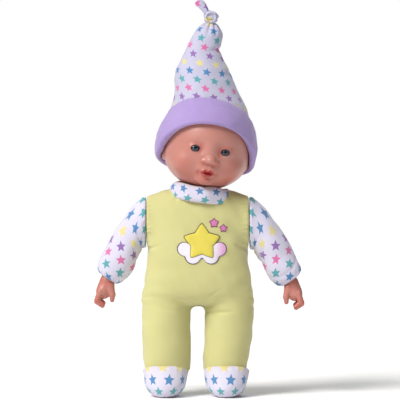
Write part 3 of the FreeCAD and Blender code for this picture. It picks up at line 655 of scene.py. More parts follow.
LEGS = {  # height, middle, half width, half depth
    "left": [
        (ANKLE_Z, 26.6, 20.6, 20.0), (32.0, 27.0, 21.4, 21.2), (38.0, 27.4, 22.2, 21.9),
        (44.0, 28.3, 22.2, 22.2), (55.0, 29.7, 22.7, 22.7), (66.0, 30.2, 23.0, 23.1),
        (78.0, 30.4, 23.5, 23.4), (90.0, 29.8, 23.4, 23.4), (98.0, 27.0, 19.0, 20.0),
        (106.0, 22.0, 12.0, 14.0),
    ],
    "right": [
        (ANKLE_Z, -29.4, 21.4, 20.0), (32.0, -29.8, 22.2, 21.2), (38.0, -30.2, 22.8, 21.9),
        (44.0, -30.2, 22.9, 22.2), (55.0, -30.5, 23.2, 22.7), (66.0, -30.7, 23.1, 23.1),
        (78.0, -30.5, 23.4, 23.4), (90.0, -29.8, 23.4, 23.4), (98.0, -27.0, 19.0, 20.0),
        (106.0, -22.0, 12.0, 14.0),
    ],
}


def ankle_x(side):
    low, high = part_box(side + "_foot_cover")
    return (low.x + high.x) / 2 / MM


TRUNK_POWER = 2.35  # 2 would be an ellipse, more is squarer
LEG_TOP = LEGS["left"][-1][0]
SUIT_STEP, HAND_STEP, HEAD_STEP, KNOT_STEP = 1.25, 0.6, 0.85, 0.5  # mm between the points of each skin


def trunk_field(p):
    x, y, z = p[..., 0], p[..., 1] - MID_Y, p[..., 2]
    half = smooth(TRUNK, z)
    sides = np.abs(x / half[..., 0]) ** TRUNK_POWER + np.abs(y / half[..., 1]) ** TRUNK_POWER
    rho = sides ** (1 / TRUNK_POWER)
    ends = np.maximum(TRUNK[0][0] - z, z - TRUNK[-1][0])
    trunk = np.maximum((rho - 1) * half[..., 1] * 0.8, ends)
    stub = np.hypot((z - SEAM_Z) / SEAM_HALF_HEIGHT, y / SEAM_HALF_DEPTH) - 1
    stub = np.maximum(stub * SEAM_HALF_DEPTH, 26 - np.abs(x))
    return join(trunk, stub, 5.0)


def leg_field(p, side):
    z = p[..., 2]
    section = smooth(LEGS[side], z)
    rho = np.hypot((p[..., 0] - section[..., 0]) / section[..., 1], (p[..., 1] - MID_Y) / section[..., 2])
    return np.maximum((rho - 1) * section[..., 2], z - LEG_TOP)


def suit_folds(p):
    """Depth of the suit's creases and puckers, positive inwards."""
    x, y, z = p[..., 0], p[..., 1] - MID_Y, p[..., 2]
    front = ramp(-y, -6, 8)
    crease = 1.3 * bell(z - HIP_Z - 3.5 - 0.05 * (x - 24), 1.7) * ramp(x, 4, 12) * ramp(40 - x, 0, 16)
    crease += 0.6 * bell(z - HIP_Z - 6 + 0.16 * (x + 26), 2.0) * ramp(-x, 5, 14) * ramp(44 + x, 0, 18)
    for slope, height in ((0.55, 91.0), (0.28, 87.0)):
        crease += 0.55 * bell(z - height - slope * np.abs(x), 1.6) * bell(np.abs(x) - 12, 9)
    crease = crease * front
    angle = np.arctan2(y, np.abs(x) - HIP_X)
    gather = np.sin(angle * 17 + 1.3 * np.sin(3 * angle)) * bell(z - ANKLE_Z, 5.0) * 0.35
    neck_reach = np.hypot(x - NECK[0], y) - 29
    neck_angle = np.arctan2(y, x)
    gather += np.sin(neck_angle * 23 + np.sin(5 * neck_angle)) * bell(neck_reach, 5) * ramp(z, 183, 190) * 0.4
    seam_gap = SEAM_X - np.abs(x)
    gather += np.sin(z * 1.15 + np.sin(z * 0.31) * 2) * bell(seam_gap, 4.5) * ramp(z, 140, 150) * 0.35
    armpit = 0.9 * bell(z - 141 - 0.35 * (50 - np.abs(x)), 2.2) * ramp(np.abs(x), 30, 46) * front
    lean = x * 0.9 + z * 0.45
    stuffing = 0.55 * lumps(p, 46, 3) + 0.22 * lumps(p, 17, 8)
    return crease + gather + armpit - stuffing + 0.08 * np.sin(lean * 0.5)


POCKET_LOW, POCKET_HIGH = in_mm(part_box("pocket_lining"))
LINING = 0.9  # mm
POCKET_REACH = 60.0  # mm, far enough back to open the pocket outwards


def suit_field(p):
    body = trunk_field(p)
    legs = np.minimum(leg_field(p, "left"), leg_field(p, "right"))
    body = join(body, legs, 6.0)
    body = body + suit_folds(p)
    sleeve_side = np.maximum(SEAM_X - 0.35 - np.abs(p[..., 0]), ARMPIT_Z - p[..., 2])
    body = carve(body, sleeve_side, 2.4)
    body = carve(body, p[..., 2] - ANKLE_Z + 0.6, 1.6)
    return body


def pocket_field(p):
    """The hollow at the back that takes the sound module, down to the lining."""
    centre, half = (POCKET_LOW + POCKET_HIGH) / 2, (POCKET_HIGH - POCKET_LOW) / 2 - LINING
    centre[1], half[1] = POCKET_LOW[1] + LINING + POCKET_REACH, POCKET_REACH
    return block(p, centre, half, 1.5)


def around(points, centre_x, radius):
    return np.arctan2(points[:, 0] - centre_x, -(points[:, 1] - MID_Y)) * radius


def make_suit():
    field = lambda p: carve(suit_field(p), pocket_field(p), 1.6)
    low = (-SEAM_X - 6, MID_Y - 38, ANKLE_Z - 4)
    high = (SEAM_X + 6, MID_Y + 38, TRUNK[-1][0] + 4)
    points, faces, normals = skin(field, low, high, SUIT_STEP)
    middle = points[faces].mean(1)
    above = middle[:, 2] > FOLD_TOP
    on_left = middle[:, 0] > 0
    pieces = {"suit_trunk": above, "suit_left_leg": ~above & on_left, "suit_right_leg": ~above & ~on_left}
    made = {}
    for name, chosen in pieces.items():
        kept, local = np.unique(faces[chosen], return_inverse=True)
        local = local.reshape(-1, 4)
        part = points[kept]
        centre, radius = (0, 40) if name == "suit_trunk" else (np.sign(part[:, 0].mean()) * HIP_X, 23)
        uv = wrapped_uv(local, around(part, centre, radius), part[:, 2], 2 * math.pi * radius)
        made[name] = add_mesh(name, part, local, uv=uv, normals=normals[kept], material=body_cloth)
    return made


suit = make_suit()
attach(suit["suit_trunk"], "torso")
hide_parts("torso_cover", "torso_stuffing", "pocket_lining")
for side in SIDES:
    leg = suit["suit_" + side + "_leg"]
    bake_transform(leg)
    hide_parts(side + "_leg_cover", side + "_leg_stuffing")


# ---- chest patches and back flap ----
def trunk_surface(x, z, side):
    """How far forward (side -1) or back (side 1) the trunk's skin is, without its pocket."""
    near = np.full(x.shape, MID_Y)
    far = np.full(x.shape, MID_Y + side * 60.0)
    for _ in range(26):
        middle = (near + far) / 2
        inside = suit_field(np.stack([x, middle, z], -1)) < 0
        near, far = np.where(inside, middle, near), np.where(inside, far, middle)
    return near


def star_reach(angle, radius, inner, soft):
    """Outline of a star with rounded points: distance from its middle in each direction."""
    fold = np.abs((angle - math.pi / 2 + math.pi / 5) % (2 * math.pi / 5) - math.pi / 5)
    tip = np.array([radius, 0.0])
    dent = inner * np.array([math.cos(math.pi / 5), math.sin(math.pi / 5)])
    normal = np.array([dent[1] - tip[1], tip[0] - dent[0]])
    straight = (normal @ tip) / (normal[0] * np.cos(fold) + normal[1] * np.sin(fold))
    return -soft * np.log(np.exp(-straight / soft) + np.exp(-(radius * 0.93) / soft))


def cloud_reach(angle, lobes):
    """Outline of a union of circles (x, z, radius) as seen from its middle."""
    reach = np.zeros(angle.shape)
    for r in np.linspace(2, 40, 400):
        x, z = r * np.cos(angle), r * np.sin(angle)
        inside = np.min([np.hypot(x - a, z - b) - c for a, b, c in lobes], 0) < 0
        reach = np.where(inside, r, reach)
    kernel = np.exp(-np.linspace(-2, 2, 13) ** 2)
    padded = np.concatenate([reach[-6:], reach, reach[:6]])
    return np.convolve(padded, kernel / kernel.sum(), "valid")


PATCH_EDGES = (0.0, 0.12, 0.35, 0.6, 0.85, 1.05, 1.3, 1.8)  # mm in from the outline


def make_patch(name, node, material, centre, reach, angle, lift, tint_from=None):
    """A patch that follows the trunk, puffed a little, with its edge sewn down."""
    rings, edges, turns = [], [], []
    length = np.concatenate([[0], np.cumsum(np.hypot(np.diff(reach), reach[:-1] * np.diff(angle)))])
    shares = np.linspace(1, 0.04, 14)
    start = reach - PATCH_EDGES[-1]
    layers = [(reach - d, d * np.ones(reach.shape)) for d in PATCH_EDGES]
    layers += [(start * k, PATCH_EDGES[-1] + (start - start * k)) for k in shares[1:]]
    for radius, edge in layers:
        x, z = centre[0] + radius * np.cos(angle), centre[1] + radius * np.sin(angle)
        satin = 0.45 * np.sin(np.clip(edge / 1.1, 0, 1) * math.pi) * (edge < 1.1)
        puff = lift * (1 - np.exp(-edge / 1.2)) + satin
        y = trunk_surface(x, z, -1) - 0.08 - puff
        rings.append(np.stack([x, y, z], -1))
        edges.append(edge)
        turns.append(length)
    edges, turns = np.array(edges), np.array(turns)
    rings = np.array(rings)
    tint = np.zeros(edges.shape) if tint_from is None else ramp(rings[..., 0], *tint_from)
    paint = {
        "edge": np.append(edges.ravel(), 20.0),
        "around": np.append(turns.ravel(), 0.0),
        "tint": np.append(tint.ravel(), tint[-1].mean()),
    }
    patch = tube(name, rings, close=(False, True), flip=True, paint=paint, material=material)
    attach(patch, "torso")
    if node is not None:
        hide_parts(node)


def make_patches():
    angle = turns(300)
    low, high = in_mm(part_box("cloud_patch"))
    middle = (low + high) / 2
    lobes = [(-17.2, 3.4, 6.8), (17.2, 3.4, 6.8), (-8.8, -3.4, 7.9), (9.0, -3.4, 7.9), (0, 4, 10.0)]
    reach = cloud_reach(angle, lobes)
    place = (middle[0], middle[2] + 1.6)
    make_patch("cloud_on_chest", "cloud_patch", patch_finish["cloud"], place, reach, angle, 0.9, (15, 25))
    low, high = in_mm(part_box("star_patch"))
    radius = (high[2] - low[2]) / 1.81
    place = ((low[0] + high[0]) / 2, high[2] - radius - 0.9)
    reach = star_reach(angle, radius * 1.22, radius * 0.70, 2.0)
    make_patch("star_on_chest", "star_patch", patch_finish["star"], place, reach, angle, 1.9)
    low, high = in_mm(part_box("small_star_patches"))
    big, little = (high[2] - low[2]) * 0.364, (high[2] - low[2]) * 0.318
    angle = angle[::2]
    for name, node, x, z, size in (
        ("pink_star_large", "small_star_patches", low[0] + 0.95 * big, high[2] - big, big),
        ("pink_star_small", None, high[0] - 0.95 * little, low[2] + 0.81 * little, little),
    ):
        reach = star_reach(angle, size * 1.2, size * 0.72, 0.8)
        make_patch(name, node, patch_finish["pink"], (x, z), reach, angle, 0.8)


FLAP_COLUMNS, FLAP_ROWS = 72, 76


def make_back_flap():
    """Cloth flap over the module's pocket: sewn along its top edge, closed with tape at the bottom."""
    low, high = in_mm(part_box("back_flap"))
    across = np.linspace(low[0] + 0.4, high[0] - 0.4, FLAP_COLUMNS)
    down = np.linspace(high[2] - 0.3, low[2] + 0.4, FLAP_ROWS)
    x, z = np.meshgrid(across, down)
    skin_y = trunk_surface(x, z, 1)
    near_top = ramp(z, high[2] - 7, high[2] - 0.5)
    hem = np.minimum(np.minimum(x - low[0], high[0] - x), z - low[2])
    groove = 0.35 * bell(hem - 3.4, 0.5)
    ripple = 0.35 * lumps(np.stack([x, 0 * x, z], -1), 18, 91) * (1 - near_top)
    round_off = 0.5 * ramp(1.2 - hem, 0, 1.2)
    outer = skin_y + 3.6 - 2.2 * near_top + ripple - groove - round_off
    inner = skin_y + 2.55 - 2.2 * near_top + ripple * 0.5
    points = np.concatenate([np.stack([x, y, z], -1).reshape(-1, 3) for y in (outer, inner)])
    count = FLAP_COLUMNS * FLAP_ROWS
    steps = np.meshgrid(np.arange(FLAP_ROWS - 1), np.arange(FLAP_COLUMNS - 1), indexing="ij")
    r, c = (a.ravel() for a in steps)
    first = r * FLAP_COLUMNS + c
    faces = np.stack([first, first + FLAP_COLUMNS, first + FLAP_COLUMNS + 1, first + 1], 1)
    back = faces[:, ::-1] + count
    rim = [k for k in range(FLAP_COLUMNS)]
    rim += [k * FLAP_COLUMNS + FLAP_COLUMNS - 1 for k in range(1, FLAP_ROWS)]
    rim += [(FLAP_ROWS - 1) * FLAP_COLUMNS + k for k in range(FLAP_COLUMNS - 2, -1, -1)]
    rim += [k * FLAP_COLUMNS for k in range(FLAP_ROWS - 2, 0, -1)]
    rim = np.array(rim)
    after = np.roll(rim, -1)
    side = np.stack([rim, after, after + count, rim + count], 1)
    faces = np.vstack([faces, back, side])
    uv = np.concatenate([np.stack([x, z], -1).reshape(-1, 2)] * 2)[faces].reshape(-1, 2)
    flap = add_mesh("soft_back_flap", points, faces, uv=uv, material=body_cloth)
    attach(flap, "back_flap")
    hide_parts("back_flap")


make_patches()
make_back_flap()


# ---- feet ----
FOOT = [  # height, half width, half length, forward shift
    (0.0, 9.0, 20.0, 8.0), (0.6, 10.8, 22.4, 8.3), (2.0, 12.8, 25.2, 8.7), (3.5, 14.6, 26.9, 9.0),
    (6.0, 17.0, 28.6, 9.2), (9.0, 18.9, 29.5, 9.1), (12.0, 20.0, 29.4, 8.5), (15.0, 20.5, 28.2, 7.6),
    (20.0, 21.2, 24.6, 4.2), (23.6, 21.6, 22.2, 1.2), (ANKLE_Z - 0.3, 21.5, 21.2, 0.1),
]
FOOT_COLUMNS = 120
FOOT_RISE = 5.0  # mm, the seam's arch over the instep
PRINT_ROW = 24  # the ring whose length round sets the print's scale


def make_foot(side):
    centre_x = ankle_x(side)
    heights = np.concatenate([np.linspace(ANKLE_Z - 0.3, 3, 44), np.linspace(2.6, 0, 14)])
    rings = []
    for z in heights:
        half_x, half_y, forward = smooth(FOOT, z)
        centre = np.array([centre_x, MID_Y - forward, z])
        back, out = np.array([0, 1, 0]), np.array([-1, 0, 0])
        ring = ellipse_ring(centre, back, out, half_y, half_x, FOOT_COLUMNS, 2.1)
        rings.append(ring)
    middle = ring.mean(0)
    for share in (0.8, 0.55, 0.3, 0.12):  # the sole, closed in steps
        rings.append(middle + (ring - middle) * share)
    rings = np.array(rings)
    outward = outward_from(rings, rings.mean(1, keepdims=True), level=True)
    angle = turns(FOOT_COLUMNS)
    near_seam = bell(ANKLE_Z - rings[..., 2], 4.0)
    gather = np.sin(angle * 19 + 1.7 * np.sin(2 * angle)) * near_seam * 0.4
    ease = ramp(rings[..., 2], 0.5, 5)
    bulge = (lumps(rings, 19, 21) * 0.4 + gather) * ease
    rings = pushed(rings, outward, bulge)
    rings[..., 2] += ramp(-np.cos(angle), -0.1, 1.0) * ramp(rings[..., 2], 12, ANKLE_Z) * FOOT_RISE
    uv = round_uv(rings)
    uv = np.stack([np.broadcast_to(uv[PRINT_ROW, :, 0], uv.shape[:2]), -uv[..., 1]], -1)
    foot = tube("soft_" + side + "_foot", rings, uv, material=foot_print)
    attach(foot, side + "_leg")
    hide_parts(side + "_foot_cover", side + "_foot_stuffing")


for side in SIDES:
    make_foot(side)


# ---- sleeves ----
# Share of the way to the wrist, half width in the front view, half depth, outward bow.
SLEEVE = [
    (0.00, 22.6, 16.8, 0.0), (0.03, 24.0, 18.2, 0.4), (0.16, 21.0, 17.8, 2.8), (0.30, 17.8, 17.2, 3.6),
    (0.46, 16.6, 16.6, 3.3), (0.60, 16.8, 16.4, 2.4), (0.73, 17.3, 16.2, 1.2), (0.84, 16.6, 15.6, 0.9),
    (0.93, 15.0, 14.2, 1.2), (0.98, 13.2, 12.6, 1.2), (1.015, 10.6, 10.4, 0.8), (1.03, 9.0, 8.8, 0.3),
]
SLEEVE_END = SLEEVE[-1][0]
SLEEVE_COLUMNS, SLEEVE_ROWS = 132, 84
SLEEVE_SEAM = 0.75 * math.pi  # where the cloth is joined: behind, towards the body


def make_sleeve(side):
    sign = SIDES[side]
    seam, _ = joint_place(side + "_shoulder")
    seam = seam + np.array([sign * 0.25, 0, 0])
    wrist, along = joint_place(side + "_wrist_turn")
    out = np.cross(along, [0, 1, 0]) * sign
    up, back = np.array([0, 0, 1.0]), np.array([0, 1.0, 0])
    shares = SLEEVE_END * (1 - (1 - np.linspace(0, 1, SLEEVE_ROWS)) ** 1.25)
    rings = []
    for share in shares:
        half_w, half_d, bow = smooth(SLEEVE, share)
        turn = min(1.0, share / 0.5)
        across = up * (1 - turn) + out * turn
        across /= np.linalg.norm(across)
        middle = seam + (wrist - seam) * share + out * bow
        rings.append(ellipse_ring(middle, across, back, half_w, half_d, SLEEVE_COLUMNS, start=SLEEVE_SEAM))
    for share, radius in ((1.01, 8.2), (0.92, 7.7)):  # the cuff's end, turned in round the wrist
        middle = seam + (wrist - seam) * share
        rings.append(ellipse_ring(middle, out, back, radius, radius, SLEEVE_COLUMNS, start=SLEEVE_SEAM))
    rings = np.array(rings)
    outward = outward_from(rings, rings.mean(1, keepdims=True))
    angle = SLEEVE_SEAM + turns(SLEEVE_COLUMNS)[None]
    place = np.concatenate([shares / SLEEVE_END, [1.0, 1.0]])[:, None]
    gather = np.sin(angle * 21 + 1.5 * np.sin(3 * angle + sign)) * bell(1 - place, 0.07) * 0.5 * (place < 1)
    gather += np.sin(angle * 24 + 1.2 * np.sin(2 * angle)) * bell(place, 0.07) * 0.45 * ramp(place, 0, 0.02)
    inner = ramp(-np.cos(angle), 0.1, 0.9)
    fold = bell(place - 0.30 - 0.10 * np.sin(angle + 0.6), 0.030) * inner * 1.5
    fold += bell(place - 0.50 - 0.14 * np.sin(angle - 0.4), 0.034) * inner * 1.1
    fold += bell(place - 0.72 + 0.16 * np.sin(angle), 0.030) * ramp(np.sin(-angle), -0.2, 0.9) * 0.8
    soft = ramp(place, 0.0, 0.08) * ramp(1 - place, 0.0, 0.06)
    swell = gather + (lumps(rings, 24, 31 + sign) * 0.8 + lumps(rings, 9, 41 + sign) * 0.15 - fold) * soft
    rings = pushed(rings, outward, swell)
    sleeve = tube(side + "_soft_sleeve", rings, round_uv(rings), flip=sign < 0, material=sleeve_print)
    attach(sleeve, side + "_arm")
    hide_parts(side + "_sleeve", side + "_arm_stuffing")


for side in SIDES:
    make_sleeve(side)


# ---- hands ----
HAND_LEAN = 0.25
HAND_STEM, HAND_REACH, HAND_MARGIN = 19, 33, 17  # mm, the space that a hand is looked for in
FINGER_LENGTHS = (7.9, 9.2, 8.8, 6.8)
FINGER_SPACE = 3.9


def make_hand(side):
    """Chubby vinyl hand, palm to the body: four curled fingers, thumb in front, and a stem in the cuff."""
    sign = SIDES[side]
    wrist, along = joint_place(side + "_wrist_turn")
    down = np.array([sign * HAND_LEAN, 0, -1.0])
    down /= np.linalg.norm(down)
    across = np.cross(down, [0, 1, 0]) * sign
    frame_axes = np.stack([across, [0, 1, 0], down])

    def field(p):
        local = (p - wrist) @ frame_axes.T  # x away from the body, y back, z down from the wrist
        hand = ellipsoid(local, (0.8, 0.2, 10.4), (8.0, 7.4, 11.0))
        hand = join(hand, ellipsoid(local, (3.2, 0.0, 15.6), (5.6, 7.8, 6.4)), 3.0)
        stem = capsule(p, wrist - along * 11, wrist + along * 3.0, 6.9, 6.6)
        hand = join(hand, stem, 2.5)
        for k, length in enumerate(FINGER_LENGTHS):
            y = (k - 1.5) * FINGER_SPACE
            knuckle, middle = (5.0, 0.9 * y, 15.5), (5.6, y, 16.5 + length)
            tip = (-0.2, 0.95 * y, 19.2 + length)
            finger = capsule(local, knuckle, middle, 3.1, 2.8)
            finger = join(finger, capsule(local, middle, tip, 2.8, 2.3), 0.8)
            hand = join(hand, finger, 0.8)
            hand = carve(hand, ellipsoid(local, (1.6, y, 21.6 + length), (1.3, 1.2, 0.6)), 0.4)
            hand = carve(hand, ellipsoid(local, (8.9, 0.9 * y, 14.5), (1.0, 0.9, 0.9)), 0.9)
        thumb = capsule(local, (-3.2, -3.6, 8.0), (-7.2, -4.6, 15.6), 3.8, 2.9)
        thumb = join(thumb, capsule(local, (-7.2, -4.6, 15.6), (-8.2, -4.4, 20.8), 2.9, 2.1), 1.0)
        hand = join(hand, thumb, 2.0)
        return hand

    ends = wrist - along * HAND_STEM, wrist + down * HAND_REACH
    low, high = np.minimum(*ends) - HAND_MARGIN, np.maximum(*ends) + HAND_MARGIN
    points, faces, normals = skin(field, low, high, HAND_STEP)
    depth = (points - wrist) @ down
    blush_and_shade = 0.18 + 0.5 * ramp(depth, 15, 28) + 0.25 * bell(depth - 4, 4)
    none = np.zeros(len(points))
    paint = {"blush_and_shade": blush_and_shade, "lips": none, "lip_line": none, "lid_line": none, "hair": none}
    hand = add_mesh(side + "_vinyl_hand", points, faces, normals=normals, paint=paint, material=skin_vinyl)
    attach(hand, side + "_hand")
    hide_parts(side + "_hand")


for side in SIDES:
    make_hand(side)


# ---- head ----
EYE_X, EYE_Y, EYE_Z, EYE_R = 14.5, -32.8, 44.9, 6.7
EYE_HALF_WIDTH, EYE_HALF_HEIGHT = 4.0, 2.8
NOSE_X, MOUTH_X, MOUTH_Z = 1.4, 0.2, 22.6


HEAD_SHAPES = [  # added or cut, in whose own coordinates, middle, half sizes, softness of the join
    (join, "all", (0, -3, 37.5), (39.8, 37.5, 27.6), 6),  # face
    (join, "all", (0, -16, 27), (25, 22.0, 14.6), 6),  # jaw
    (join, "both", (18.5, -22, 31), (14.0, 14.2, 11.0), 6),  # cheeks
    (join, "all", (0, -32.0, 16.6), (8.0, 5.0, 4.6), 5),  # chin
    (carve, "both", (14.0, -45.6, 46.0), (9.0, 5.6, 6.4), 6),  # eye sockets
    (join, "nose", (-0.4, -38.6, 43.0), (4.2, 3.2, 8.5), 6),  # bridge
    (join, "nose", (0, -43.0, 35.4), (5.0, 4.4, 3.8), 2.4),  # tip
    (join, "nostrils", (6.0, -40.0, 34.0), (3.1, 3.2, 2.7), 1.4),  # wings
    (carve, "nostrils", (2.9, -43.4, 31.6), (1.8, 2.0, 0.9), 0.7),
    (carve, "nose", (0, -42.2, 30.4), (7.6, 2.4, 0.9), 1.2),  # crease under the nose
]
MOUTH_SHAPES = [
    (join, "mouth", (0, -37.8, 26.4), (8.4, 3.2, 4.4), 4),
    (join, "lips", (2.4, -40.2, 25.0), (3.4, 1.9, 1.7), 1.2),  # upper lip
    (join, "mouth", (0, -39.6, 21.2), (4.6, 2.4, 2.0), 1.6),  # lower lip
    (carve, "mouth", (0, -42.6, MOUTH_Z), (5.6, 2.6, 0.6), 0.9),  # line between them
    (carve, "lips", (8.2, -38.6, MOUTH_Z + 0.1), (1.5, 1.5, 1.5), 2.0),  # corners
    (carve, "mouth", (0, -43.6, 28.6), (1.2, 2.0, 2.2), 1.6),  # groove above
    (carve, "mouth", (0, -38.6, 18.4), (5.4, 1.6, 0.9), 2.2),  # fold above the chin
]


def mirrored(p):
    """The same points with both sides folded onto the left."""
    q = p.copy()
    q[..., 0] = np.abs(p[..., 0])
    return q


def head_field(p):
    y, z = p[..., 1], p[..., 2]
    n = p - np.array([NOSE_X, 0, 0])
    m = p - np.array([MOUTH_X, 0, 0])
    q, nq, mq = mirrored(p), mirrored(n), mirrored(m)
    sides = {"all": p, "both": q, "nose": n, "nostrils": nq, "mouth": m, "lips": mq}
    head = ellipsoid(p, (0, 2, 54), (41, 46, 46))
    for use, side, middle, half, soft in HEAD_SHAPES:
        head = use(head, ellipsoid(sides[side], middle, half), soft)
    lid = np.linalg.norm(q - np.array([EYE_X, EYE_Y, EYE_Z]), axis=-1) - (EYE_R + 1.1)
    head = join(head, np.maximum(lid, -y - 43), 2.6)
    opening = ellipsoid(q, (EYE_X, -41.0, EYE_Z), (EYE_HALF_WIDTH, 7.0, EYE_HALF_HEIGHT))
    head = carve(head, opening, 0.5)
    for use, side, middle, half, soft in MOUTH_SHAPES:
        head = use(head, ellipsoid(sides[side], middle, half), soft)
    ear = ellipsoid(q, (39.4, 5.0, 41.0), (3.6, 6.6, 10.6))
    ear = carve(ear, ellipsoid(q, (43.4, 3.2, 42.4), (2.4, 3.8, 6.6)), 1.2)
    head = join(head, ear, 1.6)
    head = join(head, capsule(p, (0, 0, -13), (0, 0, 20), 15.0, 15.4), 3.5)
    crown = ramp(z + 0.25 * y, 62, 74)
    x = p[..., 0]
    strands = np.sin(np.arctan2(x - 4, y - 14) * 46 + 0.35 * z + 2.0 * np.sin(np.arctan2(x, y) * 5))
    return head + crown * strands * 0.22


def spot(x, z, at_x, at_z, half_x, half_z):
    return np.exp(-(((x - at_x) / half_x) ** 2 + ((z - at_z) / half_z) ** 2))


def head_paint(p):
    """Where the face is sprayed and painted, as shares from 0 to 1; the blush share also holds painted shade under
    the nose, beside the nostril wings and in the mouth's corners.
    """
    x, y, z = p[:, 0], p[:, 1], p[:, 2]
    ax = np.abs(x)
    nx, mx = np.abs(x - NOSE_X), np.abs(x - MOUTH_X)
    front = ramp(-y, 10, 26)
    # redder and darker towards the bottom and the sides of the face
    blush_and_shade = 0.55 * ramp(34 - z, 0, 22) * ramp(ax, 6, 20)
    blush_and_shade += 0.30 * spot(ax, z, 22, 30, 9, 9)
    # painted shade: a dark line under the nose and dark spots in the creases beside the nostril wings
    blush_and_shade += 0.55 * spot(nx, z, 0, 31.0, 7.5, 1.5) + 0.55 * spot(nx, z, 7.6, 33.5, 1.8, 3.4)
    blush_and_shade += 0.45 * spot(x, z, 0, 14.0, 12, 4.0)
    blush_and_shade += 0.70 * spot(ax, z, 9.4, 45.0, 2.6, 4.4) + 0.30 * spot(ax, z, 15, 50, 7.5, 2.6)
    blush_and_shade += 0.30 * spot(ax, z, 19.6, 45.6, 2.4, 3.2)
    # painted shade in the mouth's corners, and a redder patch under the lower lip
    blush_and_shade += 0.55 * spot(mx, z, 8.6, MOUTH_Z, 2.6, 3.4) + 0.30 * spot(mx, z, 0, 20.0, 8, 4.0)
    blush_and_shade = np.clip(blush_and_shade, 0, 0.85) * front
    bow = 25.2 + 1.3 * bell(mx - 2.6, 2.2) - 0.8 * bell(mx, 1.2) - 0.22 * mx
    upper = ramp(z, MOUTH_Z - 0.9, MOUTH_Z) * ramp(bow + 0.4 - z, -0.4, 0.4) * ramp(6.8 - mx, -0.4, 1.2)
    lower_reach = np.hypot(mx / 5.2, (z - 22.0) / 2.9)
    lower = ramp(1.1 - lower_reach, 0.0, 0.3) * ramp(MOUTH_Z + 0.2 - z, -0.4, 0.4)
    lips = np.clip(upper + 0.62 * lower, 0, 1) * front
    line = ramp(1.0 - np.hypot(mx / 7.0, (z - MOUTH_Z + 0.1) / 2.6), 0.0, 0.6) * front
    eye_reach = np.hypot((ax - EYE_X) / (EYE_HALF_WIDTH + 0.5), (z - EYE_Z - 0.2) / (EYE_HALF_HEIGHT + 0.5))
    lid_line = ramp(1.06 - eye_reach, 0.0, 0.12) * front * ramp(-y, 33, 35)
    hair = 0.30 * ramp(z + 0.25 * y, 60, 74)
    return {"blush_and_shade": blush_and_shade, "lips": lips, "lip_line": 0.85 * line, "lid_line": lid_line, "hair": hair}


def make_head():
    points, faces, normals = skin(head_field, (-46, -50, -15), (46, 52, 103), HEAD_STEP)
    paint = head_paint(points)
    head = add_mesh(
        "vinyl_head", head_place(points), faces, normals=normals @ HEAD.T, paint=paint, material=skin_vinyl
    )
    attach(head, "head")
    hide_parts("head_shell")


EYE_COLUMNS = 64


def make_eye(side):
    """A ball with its iris at the front, slightly domed."""
    centre = np.array([SIDES[side] * EYE_X, EYE_Y, EYE_Z])
    axis, up, across = np.array([0, -1.0, 0]), np.array([0, 0, 1.0]), np.array([1.0, 0, 0])
    rings = []
    for angle in np.linspace(0.02, 2.2, 44):
        dome = 0.45 * bell(angle, 0.42)
        radius = (EYE_R + dome) * math.sin(angle)
        middle = centre + axis * (EYE_R + dome) * math.cos(angle)
        rings.append(ellipse_ring(middle, up, across, radius, radius, EYE_COLUMNS))
    rings = np.array(rings)
    reach = np.linalg.norm(np.cross(rings.reshape(-1, 3) - centre, axis), axis=1) / EYE_R
    reach = np.concatenate([reach, [0.0, 1.0]])
    ball = tube(side + "_glass_eye", head_place(rings), paint={"from_axis": reach}, material=eye_gloss)
    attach(ball, "head")
    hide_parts(side + "_eye", side + "_iris")


make_head()
for side in SIDES:
    make_eye(side)


# ---- collar ----
COLLAR_R, COLLAR_COLUMNS = 23.8, 160
COLLAR_TURNS = [  # share round the section, out from the middle line, up
    (0.00, -4.0, -6.5), (0.16, 2.4, -8.6), (0.30, 6.2, -5.0), (0.45, 6.6, 1.0), (0.60, 4.2, 7.2),
    (0.72, 0.6, 9.2), (0.84, -3.4, 6.8), (1.00, -4.6, 0.0),
]


def make_collar():
    angle = np.linspace(-math.pi, math.pi, COLLAR_COLUMNS, endpoint=False)
    away = np.stack([np.sin(angle), -np.cos(angle), 0 * angle], 1)  # starts at the back
    forward = np.cos(angle)
    lift = 2.4 - 0.6 * forward + 0.7 * np.abs(np.sin(angle))
    slump = 0.7 * np.sin(2 * angle + 0.6) + 0.5 * np.sin(5 * angle)
    rings = []
    for share in np.linspace(0, 1, 46):
        out, up = smooth(COLLAR_TURNS, share)
        up_scale = 0.86 + 0.08 * np.abs(np.sin(angle))
        radius = COLLAR_R + out + 0.35 * np.sin(angle * 9 + 3 * share) * bell(share - 0.55, 0.3)
        points = away * radius[:, None]
        points[:, 2] = up * up_scale + lift + slump * bell(share - 0.6, 0.4)
        rings.append(points)
    rings = np.array(rings)
    rings += (lumps(rings, 15, 51) * 0.45)[..., None] * away[None]
    uv = round_uv(rings)
    collar = tube("rolled_collar", head_place(rings), uv, close=(False, False), material=collar_print)
    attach(collar, "torso")
    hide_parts("roll_collar")


make_collar()


